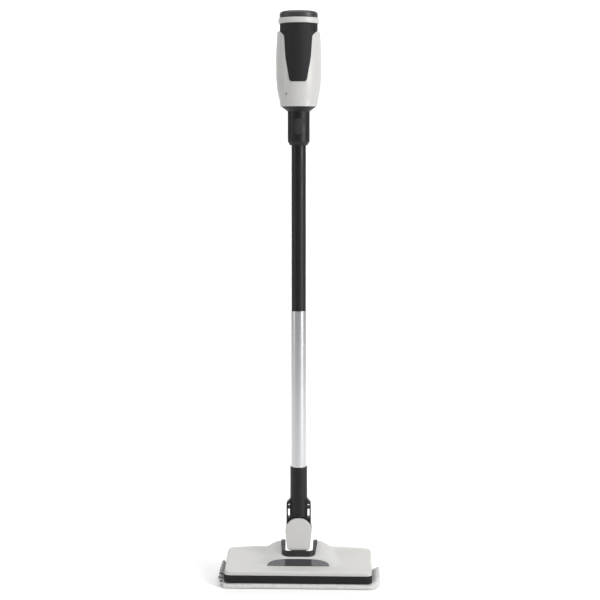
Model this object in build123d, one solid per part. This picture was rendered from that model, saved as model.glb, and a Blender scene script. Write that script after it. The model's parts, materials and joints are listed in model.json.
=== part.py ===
from build123d import *
import os
from math import cos, hypot, radians, sin

# Cordless wet dry floor scrubber: an upright two-tone pole with a battery handle on top and,
# below a two-axis joint, a flat head that shakes a microfibre pad over the floor.
# Millimetres, +Z up, +X to the right, the head's front faces -Y.
# Origin: centre of the pad's underside, on the floor. The pole stands on the Z axis.

os.makedirs("parts", exist_ok=True)

# ---------------------------------------------------------------- fits
RUN_GAP = 0.05          # radial, pins turning or tubes sliding
SEAT_GAP = 0.1          # between pieces that are fastened to each other
BUTTON_GAP = 0.25       # round a button in its hole
HEAD_GAP = 1.0          # between the shaking plate and the still housing
RECESS_GAP = 2.0        # beside the neck in its recess

# ---------------------------------------------------------------- pad and pad plate
PAD_L, PAD_W, PAD_H, PAD_R = 340.0, 132.0, 11.0, 18.0
PLATE_L, PLATE_W, PLATE_H, PLATE_R = 310.0, 114.0, 16.0, 9.0
PLATE_FLOOR = 3.0
PLATE_WALL = 2.5
BUMPER_T = 3.0
HOOK_L, HOOK_W, HOOK_T = 270.0, 22.0, 1.2
SHAKE = 1.5             # travel of the plate each way

# ---------------------------------------------------------------- head housing
SHELL_L, SHELL_W, SHELL_R = 314.0, 116.0, 11.0
SHELL_T = 2.4
LIP_H = 7.0             # upright front lip above the shell's lower edge
END_RISE = 20.0         # rise of the top from front to rear at the ends
CROWN = 6.5             # further rise at the middle of the rear
HUMP_FRONT_LOW_Y, HUMP_FRONT_Y, HUMP_REAR_Y = -33.0, -26.5, 42.0
HUMP_FRONT_Z, HUMP_REAR_Z = 59.5, 78.0
HUMP_TOP_HALF, HUMP_FOOT_HALF = 50.0, 82.0
CHASSIS_T = 2.5
LENS_HALF, LENS_LOW, LENS_HIGH, LENS_END = 67.0, 41.5, 55.5, 46.0
LENS_SINK = 0.7
LENS_T = 1.6

# ---------------------------------------------------------------- neck and two-axis joint
PITCH_Z = 54.0          # hinge that lets the pole lean back
ROLL_Z = 114.0          # hinge that lets the pole lean sideways
PIN_R = 4.0
NECK_HALF, NECK_FOOT_HALF, NECK_FOOT_Z = 28.3, 24.6, 72.0
NECK_DEPTH = 18.0       # half depth over both covers
CHEEK_IN = 11.8         # inner face of each cheek
CHEEK_T = 3.0
CHEEK_R = 20.0
COVER_T = 2.0
BARREL_R = 11.0
BARREL_HALF = 22.5
EAR_T = 5.0
EAR_R = 9.0
TRIM_W = 9.2            # width of the dark collar round the neck's recess
TRIM_FRONT_Z, TRIM_REAR_Z = 72.5, 80.0
LINER_T = 2.0

# ---------------------------------------------------------------- pole
YOKE_HALF = 26.0
YOKE_STRAP = 2.6
YOKE_CORE_R = 18.4
YOKE_ARM_DEPTH = 9.5
YOKE_FOOT_Z, YOKE_TOP_Z = 128.0, 178.0
YOKE_WINDOWS = ((142.0, 161.5), (165.5, 171.5))     # lower and upper edge of each slot
SOCKET_R, SOCKET_TOP_Z, SOCKET_FLOOR_Z = 18.2, 252.0, 190.0
TUBE_SCREW_R, TUBE_SCREW_H = 1.7, 12.0      # screw behind, above the socket's floor
LOWER_R, LOWER_TOP_Z, LOWER_WALL = 16.2, 588.0, 0.85
UPPER_BOTTOM_Z, UPPER_WALL = 521.0, 1.0
GROOVE_R, GROOVE_OFF = 10.0, 0.8    # eccentric groove of the twist lock
LEAD_R = 4.5            # envelope of the coiled lead inside the pole
LEAD_BOTTOM_Z = 198.0

# ---------------------------------------------------------------- handle
NECK_R, NECK_BOTTOM_Z, NECK_CHAMFER_Z = 23.2, 937.0, 945.0
FLANGE_Z = 1007.5
HANDLE_Z = 1017.5       # lower edge of the white barrel
BARREL_TOP_Z = 1172.0
HANDLE_DEPTH = 0.88     # depth of the oval barrel as a share of its width
HANDLE_FOOT, HANDLE_WAIST, HANDLE_MAX, HANDLE_TOP = 38.8, 40.2, 47.4, 44.6
BEVEL_H, BELLY_H = 12.0, 75.0
HANDLE_T = 2.4
COLLAR_R, COLLAR_T = 39.5, 9.0
RING_Z, RING_R, RING_HOLE = 1186.0, 44.9, 35.0
CAP_Z, CAP_R, CAP_TOP_Z, CAP_T = 1200.0, 39.9, 1215.0, 2.5
GRIP_LOW_Z, GRIP_MID_Z = 1068.0, 1116.0
GRIP_WING, GRIP_TOP, GRIP_MID, GRIP_LOW = 38.0, 29.3, 26.2, 17.5     # its half widths, going down
INDICATOR_X, INDICATOR_Z, INDICATOR_R = -24.5, 1043.0, 2.3
GRIP_SINK, GRIP_PROUD = 1.6, 0.6
NECK_BUTTON_W, NECK_BUTTON_H, NECK_BUTTON_Z, NECK_BUTTON_TRAVEL = 16.2, 32.8, 976.0, 1.8
POWER_R, POWER_TRAVEL = 13.0, 1.2
CELL_R, CELL_H, CELL_Z = 9.2, 65.0, 1050.0
CRADLE_R = 25.0
JACK_Z = 1043.0         # charging socket at the back
JACK_W, JACK_H, JACK_DEPTH = 14.4, 9.4, 14.0
FLAP_W, FLAP_H, FLAP_T = 20.0, 15.0, 1.3

# ---------------------------------------------------------------- motor
MOTOR_X, MOTOR_Y, MOTOR_R, MOTOR_L = -92.0, 4.0, 12.2, 30.8
CLAMP_REACH, CLAMP_POST_H, CLAMP_T = 6.0, 6.0, 1.5      # the strap's feet beside the motor
SHAFT_R = 1.2
WEIGHT_R, WEIGHT_L = 9.0, 8.0

# ---------------------------------------------------------------- sizes that follow
plate_z = PAD_H
plate_top = plate_z + PLATE_H
plate_floor_z = plate_z + PLATE_FLOOR
bumper_l = PLATE_L + 2 * BUMPER_T
bumper_w = PLATE_W + 2 * BUMPER_T
shell_z = plate_top + HEAD_GAP
chassis_z = shell_z + 0.5
chassis_top = chassis_z + CHASSIS_T
recess_half = NECK_HALF + RECESS_GAP
recess_front = -(NECK_DEPTH + RECESS_GAP)
ear_in = BARREL_HALF + 0.4
ear_out = ear_in + EAR_T
socket_bore = LOWER_R + SEAT_GAP
lower_bore = LOWER_R - LOWER_WALL
upper_r = lower_bore - RUN_GAP
upper_top = HANDLE_Z - 25.0
neck_bore = upper_r + SEAT_GAP
motor_z = plate_floor_z + 2.0 + MOTOR_R
neck_slot_z = ROLL_Z - YOKE_HALF - 5.0      # floor of the slot between the cheeks
mount_x, mount_y = PLATE_L / 2 - 26.0, PLATE_W / 2 - 19.0
board_z = RING_Z
jack_back = HANDLE_MAX * HANDLE_DEPTH - HANDLE_T - JACK_DEPTH


# ---------------------------------------------------------------- helpers
def block(x0, x1, y0, y1, z0, z1):
    """A box between three pairs of planes."""
    return Pos((x0 + x1) / 2, (y0 + y1) / 2, (z0 + z1) / 2) * Box(x1 - x0, y1 - y0, z1 - z0)


def post(r, z0, z1, x=0.0, y=0.0):
    """An upright cylinder."""
    return Pos(x, y, (z0 + z1) / 2) * Cylinder(r, z1 - z0)


def rod_x(r, x0, x1, y, z):
    """A cylinder along X."""
    return Pos((x0 + x1) / 2, y, z) * Rot(0, 90, 0) * Cylinder(r, x1 - x0)


def rod_y(r, y0, y1, x, z):
    """A cylinder along Y."""
    return Pos(x, (y0 + y1) / 2, z) * Rot(90, 0, 0) * Cylinder(r, y1 - y0)


def tray(length, width, radius, z0, z1):
    """An upright prism on a rounded rectangle."""
    return Pos(0, 0, z0) * extrude(RectangleRounded(length, width, radius), amount=z1 - z0)


def from_front(face, y0, y1):
    """A face drawn in XY, stood up in XZ and pushed through from y0 to y1."""
    return Pos(0, y1, 0) * Rot(90, 0, 0) * extrude(face, amount=y1 - y0)


def from_side(points, half):
    """A polygon of (y, z) corners, pushed through from -half to half along X."""
    face = make_face(Polyline(*[(0, y, z) for y, z in points], close=True))
    return extrude(face, amount=half, dir=(1, 0, 0), both=True)


def from_above(points, z0, z1):
    """A polygon of (x, y) corners, raised from z0 to z1."""
    face = make_face(Polyline(*[(x, y, z0) for x, y in points], close=True))
    return extrude(face, amount=z1 - z0, dir=(0, 0, 1))


def sub_part(name, shape):
    """Write one sub-part."""
    export_step(shape, f"parts/{name}.step")


# ---------------------------------------------------------------- pad, plate and what they carry
def mop_pad():
    return tray(PAD_L, PAD_W, PAD_R, 0, PAD_H)


def hook_strip_places():
    return [-PLATE_W / 4 - 4.0, PLATE_W / 4 + 4.0]


def hook_strips():
    return [
        block(-HOOK_L / 2, HOOK_L / 2, y - HOOK_W / 2, y + HOOK_W / 2, plate_z, plate_z + HOOK_T)
        for y in hook_strip_places()
    ]


def mount_places():
    return [(sx * mount_x, sy * mount_y) for sx in (-1, 1) for sy in (-1, 1)]


def clamp_feet():
    """Centres of the two screws that hold the motor's strap."""
    return [(MOTOR_X + s * (MOTOR_R + CLAMP_REACH), MOTOR_Y + MOTOR_L / 2) for s in (-1, 1)]


def pad_plate():
    outer = tray(PLATE_L, PLATE_W, PLATE_R, plate_z, plate_top)
    inner = tray(PLATE_L - 2 * PLATE_WALL, PLATE_W - 2 * PLATE_WALL, PLATE_R - PLATE_WALL,
                 plate_floor_z, plate_top + 1)
    plate = outer - inner
    rib_end = PLATE_L / 2 - PLATE_WALL
    for y in (-12.0, 12.0):
        plate += block(55.0, rib_end, y - 1.0, y + 1.0, plate_floor_z, plate_floor_z + 6.0)
    for x in (-45.0, 45.0):
        plate += block(x - 1.0, x + 1.0, -PLATE_W / 2 + PLATE_WALL, PLATE_W / 2 - PLATE_WALL,
                       plate_floor_z, plate_floor_z + 6.0)
    cradle_y = [MOTOR_Y + 3.0, MOTOR_Y + MOTOR_L - 7.0]
    for y in cradle_y:
        plate += block(MOTOR_X - 11.0, MOTOR_X + 11.0, y, y + 4.0, plate_floor_z, motor_z - 4.0)
    for x, y in clamp_feet():
        plate += post(4.0, plate_floor_z, plate_floor_z + CLAMP_POST_H, x, y)
        plate -= post(1.3, plate_floor_z, plate_floor_z + CLAMP_POST_H, x, y)
    plate -= rod_y(MOTOR_R + SEAT_GAP, cradle_y[0] - 1, cradle_y[1] + 5, MOTOR_X, motor_z)
    for x, y in mount_places():
        plate += post(3.0, plate_floor_z, plate_floor_z + 5.0, x, y)
    for strip in hook_strips():
        plate -= strip
    return plate


def bumper():
    outer = tray(bumper_l, bumper_w, PLATE_R + BUMPER_T, plate_z + 1.0, plate_top)
    band = outer - tray(PLATE_L, PLATE_W, PLATE_R, plate_z, plate_top + 1)
    rim = band.faces().filter_by(Axis.Z).edges()
    return chamfer([e for e in rim if outer_edge(e)], 0.8)


def outer_edge(edge):
    """True for an edge on the bumper's outside."""
    box = edge.bounding_box()
    far_x = max(abs(box.min.X), abs(box.max.X))
    far_y = max(abs(box.min.Y), abs(box.max.Y))
    return far_x > bumper_l / 2 - 0.1 or far_y > bumper_w / 2 - 0.1


def vibration_mounts():
    hole = 3.0 + SEAT_GAP
    return [
        post(7.0, plate_floor_z, chassis_z, x, y) - post(hole, plate_floor_z, plate_floor_z + 5.2, x, y)
        for x, y in mount_places()
    ]


def vibration_motor():
    can = rod_y(MOTOR_R, MOTOR_Y, MOTOR_Y + MOTOR_L, MOTOR_X, motor_z)
    can = fillet(can.edges().filter_by(GeomType.CIRCLE), 1.2)
    nose = rod_y(3.5, MOTOR_Y - 1.5, MOTOR_Y, MOTOR_X, motor_z)
    bore = rod_y(SHAFT_R + RUN_GAP, MOTOR_Y - 2.0, MOTOR_Y + MOTOR_L - 4.0, MOTOR_X, motor_z)
    tags = [block(MOTOR_X + s * 6 - 1.2, MOTOR_X + s * 6 + 1.2, MOTOR_Y + MOTOR_L,
                  MOTOR_Y + MOTOR_L + 3.0, motor_z - 0.3, motor_z + 0.3) for s in (-1, 1)]
    return can + nose - bore + tags


def motor_strap():
    mid = MOTOR_Y + MOTOR_L / 2
    hoop_in, hoop_out = MOTOR_R + SEAT_GAP, MOTOR_R + 1.6
    foot_z = plate_floor_z + CLAMP_POST_H
    hoop = rod_y(hoop_out, mid - 5, mid + 5, MOTOR_X, motor_z)
    hoop += block(MOTOR_X - hoop_out, MOTOR_X + hoop_out, mid - 5, mid + 5, foot_z, motor_z)
    hoop -= block(MOTOR_X - 40, MOTOR_X + 40, mid - 9, mid + 9, 0, foot_z)
    for x, y in clamp_feet():
        hoop += block(x - 5, x + 5, y - 5, y + 5, foot_z, foot_z + CLAMP_T)
    hoop -= rod_y(hoop_in, mid - 9, mid + 9, MOTOR_X, motor_z)
    hoop -= block(MOTOR_X - hoop_in, MOTOR_X + hoop_in, mid - 9, mid + 9, 0, motor_z)
    for x, y in clamp_feet():
        hoop -= post(1.7, foot_z - 1, foot_z + 4, x, y)
    return hoop


def strap_screws():
    foot_z = plate_floor_z + CLAMP_POST_H + CLAMP_T
    return [post(2.8, foot_z, foot_z + 1.8, x, y) + post(1.25, foot_z - 7.0, foot_z, x, y)
            for x, y in clamp_feet()]


def motor_shaft():
    return rod_y(SHAFT_R, MOTOR_Y - 13.0, MOTOR_Y + MOTOR_L - 5.0, MOTOR_X, motor_z)


def eccentric_weight():
    y1 = MOTOR_Y - 3.0
    y0 = y1 - WEIGHT_L
    full = rod_y(WEIGHT_R, y0, y1, MOTOR_X, motor_z)
    low = full & block(MOTOR_X - 20, MOTOR_X + 20, y0 - 1, y1 + 1, motor_z - 20, motor_z)
    hub = rod_y(3.2, y0, y1, MOTOR_X, motor_z)
    return low + hub - rod_y(SHAFT_R, y0 - 1, y1 + 1, MOTOR_X, motor_z)


# ---------------------------------------------------------------- head housing
def top_height(x, y):
    """Height of the head's top, without its hump: it rises to the rear and to the middle."""
    back = (y + SHELL_W / 2) / SHELL_W
    to_middle = 1 - abs(x) / (SHELL_L / 2)
    return shell_z + LIP_H + min(back * (END_RISE + CROWN), back * END_RISE + CROWN * to_middle)


def head_mass(inset):
    """The head's solid outline, drawn in by a wall thickness on every side and from above."""
    half_l, half_w = SHELL_L / 2, SHELL_W / 2
    lip = shell_z + LIP_H - inset
    foot = tray(SHELL_L - 2 * inset, SHELL_W - 2 * inset, SHELL_R - inset, shell_z, shell_z + 60)
    rise = END_RISE + CROWN
    mass = foot & from_side(
        [(-half_w, 0), (half_w, 0), (half_w, lip + rise), (-half_w, lip)], half_l + 1)
    for side in (-1, 1):
        tilt = Vector(side * CROWN / half_l, -END_RISE / SHELL_W, 1)
        end_plane = Plane(origin=(side * half_l, -half_w, lip), z_dir=tilt)
        mass = split(mass, bisect_by=end_plane, keep=Keep.BOTTOM)
    return mass + hump_mass(inset)


def hump_mass(inset):
    """The raised middle that carries the neck: a front face, a rising top and sloping sides."""
    foot_z = shell_z + 6.0
    profile = from_side(
        [
            (HUMP_FRONT_LOW_Y + inset * 1.1, foot_z),
            (HUMP_FRONT_Y + inset * 1.1, HUMP_FRONT_Z - inset),
            (HUMP_REAR_Y - inset, HUMP_REAR_Z - inset),
            (HUMP_REAR_Y + 3.0 - inset, foot_z),
        ],
        HUMP_FOOT_HALF + 20,
    )
    low_z = top_height(HUMP_FOOT_HALF, HUMP_REAR_Y)
    slope = (HUMP_REAR_Z - low_z) / (HUMP_FOOT_HALF - HUMP_TOP_HALF)
    foot_half = HUMP_FOOT_HALF + (low_z - foot_z) / slope
    sides = make_face(
        Polyline(
            (-foot_half + inset * 1.6, foot_z),
            (-HUMP_TOP_HALF + inset * 1.6, HUMP_REAR_Z),
            (HUMP_TOP_HALF - inset * 1.6, HUMP_REAR_Z),
            (foot_half - inset * 1.6, foot_z),
            close=True,
        )
    )
    return profile & from_front(sides, -SHELL_W, SHELL_W)


def recess_outline(grow):
    """Corners of the neck's recess from above, open and flared at the rear."""
    side = recess_half + grow
    front = recess_front - grow
    rear = SHELL_W / 2 + 4.0
    flare = 12.0
    return [
        (-side + 6.0, front),
        (side - 6.0, front),
        (side, front + 6.0),
        (side, HUMP_REAR_Y),
        (side + flare, rear),
        (-side - flare, rear),
        (-side, HUMP_REAR_Y),
        (-side, front + 6.0),
    ]


def collar_outline():
    """Outer corners of the raised dark collar round the recess."""
    side = recess_half + TRIM_W
    front = HUMP_FRONT_Y
    return [
        (-side + 7.0, front),
        (side - 7.0, front),
        (side, front + 7.0),
        (side, HUMP_REAR_Y),
        (-side, HUMP_REAR_Y),
        (-side, front + 7.0),
    ]


def lens_face(grow):
    """Crescent: flat below, arched above, blunt at the ends."""
    half, low, high, end = LENS_HALF + grow, LENS_LOW - grow, LENS_HIGH + grow, LENS_END + grow
    base = Line((-half, low), (half, low))
    arch = ThreePointArc((half, end), (0, high), (-half, end))
    ends = [Line((half, low), (half, end)), Line((-half, end), (-half, low))]
    return make_face([base, ends[0], arch, ends[1]])


def head_screw_places():
    return [(-128.0, 0.0), (128.0, 0.0), (-60.0, -42.0), (60.0, -42.0), (-62.0, 44.0), (62.0, 44.0)]


def head_shell():
    shell = head_mass(0) - head_mass(SHELL_T)
    for x, y in head_screw_places():
        boss = post(3.6, chassis_top, shell_z + 50, x, y) & head_mass(SHELL_T / 2)
        shell += boss
        shell -= post(1.3, chassis_top - 1, chassis_top + 6.0, x, y)
    shell -= from_above(recess_outline(LINER_T + SEAT_GAP), shell_z - 1, shell_z + 90)
    shell -= from_above(collar_outline(), shell_z + 20, shell_z + 90)
    shell -= from_front(lens_face(SEAT_GAP), HUMP_FRONT_LOW_Y - 8, HUMP_FRONT_Y + 9)
    return shell


def lamp_lens():
    sunk = hump_mass(LENS_SINK) - hump_mass(LENS_SINK + LENS_T)
    return sunk & from_front(lens_face(0), HUMP_FRONT_LOW_Y - 8, HUMP_FRONT_Y + 3)


def lamp_board():
    y = HUMP_FRONT_Y + 1.2
    board = block(-50, 50, y, y + 1.6, chassis_top, chassis_top + 17)
    for i in range(7):
        x = -42 + 14 * i
        board += block(x - 1.8, x + 1.8, y - 1.0, y, chassis_top + 12.0, chassis_top + 15.0)
    return board


def trim_top(y):
    """Height of the collar's sloping top."""
    along = (y - recess_front) / (HUMP_REAR_Y - recess_front)
    return TRIM_FRONT_Z + (TRIM_REAR_Z - TRIM_FRONT_Z) * along


def recess_trim():
    """Raised collar and the liner that closes the recess down to the chassis."""
    hole = from_above(recess_outline(0), chassis_top - 5, shell_z + 90)
    lean = (TRIM_FRONT_Z - HUMP_FRONT_Z) * 0.42
    under_hump = [
        (HUMP_FRONT_Y, HUMP_FRONT_Z - 1.0),
        (HUMP_FRONT_Y + lean, trim_top(recess_front)),
        (HUMP_REAR_Y, TRIM_REAR_Z),
        (HUMP_REAR_Y, HUMP_REAR_Z - 3.0),
        (HUMP_FRONT_Y, HUMP_FRONT_Z - 3.0),
    ]
    collar = from_above(collar_outline(), shell_z, shell_z + 90) & from_side(under_hump, 90)
    liner = from_above(recess_outline(LINER_T), chassis_top, shell_z + 90)
    liner &= head_mass(0) & block(-200, 200, -SHELL_W / 2, SHELL_W / 2 - 0.2, 0, 200)
    return (collar + liner) - hole


def chassis():
    inset = SHELL_T + SEAT_GAP
    plate = tray(SHELL_L - 2 * inset, SHELL_W - 2 * inset, SHELL_R - inset, chassis_z, chassis_top)
    reach = MOTOR_R + CLAMP_REACH + 5.0 + 2 * SHAKE + 1.0
    plate -= block(MOTOR_X - reach, MOTOR_X + reach, MOTOR_Y - 17.0, MOTOR_Y + MOTOR_L + 7.0,
                   chassis_z - 1, chassis_top + 1)
    for s in (-1, 1):
        x0, x1 = sorted((s * ear_in, s * ear_out))
        ear = rod_x(EAR_R, x0, x1, 0, PITCH_Z)
        ear += block(x0, x1, -EAR_R, EAR_R, chassis_top, PITCH_Z)
        plate += ear
    plate -= rod_x(PIN_R, -ear_out - 1, ear_out + 1, 0, PITCH_Z)
    for x, y in head_screw_places():
        plate -= post(1.7, chassis_z - 1, chassis_top + 1, x, y)
    return plate


def chassis_screws():
    return [post(2.9, chassis_z - 1.6, chassis_z, x, y) + post(1.25, chassis_z, chassis_top + 5.5, x, y)
            for x, y in head_screw_places()]


def pitch_pin():
    return rod_x(PIN_R, -ear_out, ear_out, 0, PITCH_Z)


# ---------------------------------------------------------------- neck
def neck_face(inset):
    """Front outline of the neck: round over the roll pin, tapering to rounded lower corners."""
    r = NECK_HALF - inset
    foot, low = NECK_FOOT_HALF - inset, NECK_FOOT_Z + inset
    corner = 5.0
    arc = ThreePointArc((r, ROLL_Z), (0, ROLL_Z + r), (-r, ROLL_Z))
    sides = Polyline((-r, ROLL_Z), (-foot, low + corner), (-foot + corner, low),
                     (foot - corner, low), (foot, low + corner), (r, ROLL_Z))
    return make_face([arc] + list(sides.edges()))


def neck_screw_places():
    return [(-13.0, neck_slot_z + 3.0), (13.0, neck_slot_z + 3.0)]


def neck_cover(side):
    """One white cover; side is -1 in front and 1 behind."""
    y_in, y_out = side * (CHEEK_IN + 0.2), side * NECK_DEPTH
    cover = from_front(neck_face(0), min(y_in, y_out), max(y_in, y_out))
    rim = cover.faces().sort_by(Axis.Y)[0 if side < 0 else -1].edges()
    cover = fillet(rim, 1.8)
    hollow_out = side * (NECK_DEPTH - COVER_T)
    cover -= from_front(neck_face(COVER_T), min(2 * side, hollow_out), max(2 * side, hollow_out))
    for x, z in neck_screw_places():
        cover += rod_y(3.2, *sorted((side * (CHEEK_IN + CHEEK_T), hollow_out)), x, z)
        cover -= rod_y(1.2, *sorted((0, side * (NECK_DEPTH - 1.2))), x, z)
    return cover


def cheek_face():
    """Outline of a cheek of the neck's link."""
    r, foot, low = CHEEK_R, CHEEK_R - 3.0, NECK_FOOT_Z + COVER_T + 1.0
    arc = ThreePointArc((r, ROLL_Z), (0, ROLL_Z + r), (-r, ROLL_Z))
    sides = Polyline((-r, ROLL_Z), (-foot, low), (foot, low), (r, ROLL_Z))
    return make_face([arc] + list(sides.edges()))


def neck_link():
    cheeks = from_front(cheek_face(), -CHEEK_IN - CHEEK_T, CHEEK_IN + CHEEK_T)
    cheeks -= block(-40, 40, -CHEEK_IN, CHEEK_IN, neck_slot_z, ROLL_Z + 40)
    stem = block(-16, 16, -9.5, 9.5, PITCH_Z, NECK_FOOT_Z + COVER_T + 3.0)
    barrel = rod_x(BARREL_R, -BARREL_HALF, BARREL_HALF, 0, PITCH_Z)
    link = cheeks + stem + barrel
    link -= rod_x(PIN_R + RUN_GAP, -BARREL_HALF - 1, BARREL_HALF + 1, 0, PITCH_Z)
    link -= rod_y(PIN_R, -30, 30, 0, ROLL_Z)
    for x, z in neck_screw_places():
        link -= rod_y(1.7, -30, 30, x, z)
    return link


def neck_screws():
    """Screws through the cheeks, from between them, into the covers' bosses."""
    made = []
    for side in (-1, 1):
        for x, z in neck_screw_places():
            head = rod_y(2.9, *sorted((side * (CHEEK_IN - 1.6), side * CHEEK_IN)), x, z)
            made.append(head + rod_y(1.15, *sorted((side * CHEEK_IN, side * (NECK_DEPTH - 1.4))), x, z))
    return made


def roll_pin():
    return rod_y(PIN_R, -CHEEK_IN - CHEEK_T, CHEEK_IN + CHEEK_T, 0, ROLL_Z)


# ---------------------------------------------------------------- swivel and pole
def swivel_yoke():
    arm_half = YOKE_ARM_DEPTH
    straps = from_front(make_face(Polyline(
        (-YOKE_HALF, YOKE_FOOT_Z), (-YOKE_HALF, YOKE_TOP_Z - 5), (-YOKE_CORE_R, YOKE_TOP_Z + 4),
        (YOKE_CORE_R, YOKE_TOP_Z + 4), (YOKE_HALF, YOKE_TOP_Z - 5), (YOKE_HALF, YOKE_FOOT_Z),
        close=True)), -arm_half, arm_half)
    for low, high in YOKE_WINDOWS:
        for s in (-1, 1):
            x0, x1 = sorted((s * (YOKE_CORE_R + 0.3), s * (YOKE_HALF - YOKE_STRAP)))
            straps -= block(x0, x1, -arm_half - 1, arm_half + 1, low, high)
    core_low = ROLL_Z + NECK_HALF + 3.0
    core = post(YOKE_CORE_R, core_low, YOKE_TOP_Z)
    socket = post(SOCKET_R, YOKE_TOP_Z, SOCKET_TOP_Z)
    tongue_half = CHEEK_IN - 0.3
    tongue = block(-YOKE_CORE_R, YOKE_CORE_R, -tongue_half, tongue_half, ROLL_Z, core_low + 5)
    tongue += rod_y(YOKE_CORE_R, -tongue_half, tongue_half, 0, ROLL_Z)
    yoke = straps + core + socket + tongue
    yoke -= post(socket_bore, SOCKET_FLOOR_Z, SOCKET_TOP_Z + 1)
    yoke -= post(LEAD_R + 1.0, ROLL_Z + PIN_R + 4.0, SOCKET_FLOOR_Z + 1)
    yoke -= rod_y(PIN_R + RUN_GAP, -30, 30, 0, ROLL_Z)
    yoke -= rod_y(TUBE_SCREW_R + SEAT_GAP, 0, 30, 0, SOCKET_FLOOR_Z + TUBE_SCREW_H)
    return yoke


def lower_tube():
    tube = post(LOWER_R, SOCKET_FLOOR_Z, LOWER_TOP_Z) - post(lower_bore, SOCKET_FLOOR_Z - 1, LOWER_TOP_Z + 1)
    return tube - rod_y(TUBE_SCREW_R + SEAT_GAP, 0, 30, 0, SOCKET_FLOOR_Z + TUBE_SCREW_H)


def tube_screw():
    z, seat = SOCKET_FLOOR_Z + TUBE_SCREW_H, SOCKET_R + 0.2
    return rod_y(TUBE_SCREW_R, lower_bore, seat, 0, z) + rod_y(2 * TUBE_SCREW_R, seat, seat + 1.8, 0, z)


def upper_tube():
    return post(upper_r, UPPER_BOTTOM_Z, upper_top) - post(
        upper_r - UPPER_WALL, UPPER_BOTTOM_Z - 1, upper_top + 1)


def lock_plug():
    """Plug in the upper tube's foot, with the eccentric groove of the twist lock below it."""
    z = UPPER_BOTTOM_Z
    plug = post(upper_r - UPPER_WALL - SEAT_GAP, z, z + 32)
    plug += post(upper_r - 0.1, z - 9, z)
    plug += post(GROOVE_R, z - 22, z - 9, GROOVE_OFF)
    plug += post(upper_r - 0.2, z - 26, z - 22)
    return plug - post(LEAD_R + 1.5, z - 30, z + 40)


def lock_ring():
    """Split ring that the plug's eccentric groove spreads against the lower tube."""
    z = UPPER_BOTTOM_Z
    ring = post(upper_r - 0.1, z - 21.7, z - 9.3) - post(GROOVE_R + SEAT_GAP, z - 22, z - 9, GROOVE_OFF)
    return ring - block(-upper_r - 1, 0, -1.5, 1.5, z - 22, z - 9)


def pole_lead():
    return post(LEAD_R, LEAD_BOTTOM_Z, upper_top + 6.0)


# ---------------------------------------------------------------- handle
def oval_post(r, z0, z1, wall=0.0):
    """An upright oval cylinder; r is its half width before a wall is taken off all round."""
    return Pos(0, 0, z0) * extrude(Ellipse(r - wall, r * HANDLE_DEPTH - wall), amount=z1 - z0)


def barrel_half(side, grow=0.0, z0=HANDLE_Z, z1=BARREL_TOP_Z):
    """Front (-1) or rear (1) half of the barrel, grown or shrunk by a wall thickness.

    Each half turns about its own axis, set across the seam, so the two make an oval.
    """
    def point(half_width, z):
        return (hypot(half_width, across) + grow, 0, z)

    across = HANDLE_MAX * (1 - HANDLE_DEPTH ** 2) / (2 * HANDLE_DEPTH)
    bevel_z, belly_z = HANDLE_Z + BEVEL_H, HANDLE_Z + BELLY_H
    foot, waist = point(HANDLE_FOOT, HANDLE_Z), point(HANDLE_WAIST, bevel_z)
    belly, top = point(HANDLE_MAX, belly_z), point(HANDLE_TOP, BARREL_TOP_Z)
    low_bulge = point(HANDLE_WAIST + 0.72 * (HANDLE_MAX - HANDLE_WAIST), (bevel_z + belly_z) / 2 - 5.0)
    high_bulge = point(HANDLE_MAX - 0.3, (belly_z + BARREL_TOP_Z) / 2)
    outline = [
        Line(foot, waist),
        ThreePointArc(waist, low_bulge, belly),
        ThreePointArc(belly, high_bulge, top),
        Line(top, (0, 0, BARREL_TOP_Z)),
        Line((0, 0, BARREL_TOP_Z), (0, 0, HANDLE_Z)),
        Line((0, 0, HANDLE_Z), foot),
    ]
    turned = Pos(0, -side * across, 0) * revolve(make_face(outline), Axis.Z)
    return turned & block(-99, 99, *sorted((0, side * 99)), z0, z1)


def grip_face(grow):
    """Front outline of the dark grip: wings at the collar, then a shield that narrows downwards."""
    wing, top, mid, low = GRIP_WING + grow, GRIP_TOP + grow, GRIP_MID + grow, GRIP_LOW + grow
    z_top, z_wing, z_mid, z_low = BARREL_TOP_Z + 5, BARREL_TOP_Z - 9.5, GRIP_MID_Z, GRIP_LOW_Z - grow
    outline = make_face(Polyline(
        (-wing, z_top), (-wing, BARREL_TOP_Z - 1.0), (-top, z_wing), (-mid, z_mid), (-low, z_low),
        (low, z_low), (mid, z_mid), (top, z_wing), (wing, BARREL_TOP_Z - 1.0), (wing, z_top),
        close=True))
    corners = outline.vertices()
    outline = fillet([v for v in corners if abs(v.Y - z_low) < 0.01], 7.0)
    outline = fillet([v for v in outline.vertices() if abs(v.Y - z_wing) < 0.01], 9.0)
    return fillet([v for v in outline.vertices() if abs(v.Y - z_mid) < 0.01], 120.0)


def handle_screw_places():
    low_z, high_z = HANDLE_Z + 20.0, BARREL_TOP_Z - 22.0
    return [(-30.0, low_z), (30.0, low_z), (-34.0, high_z), (34.0, high_z)]


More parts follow.
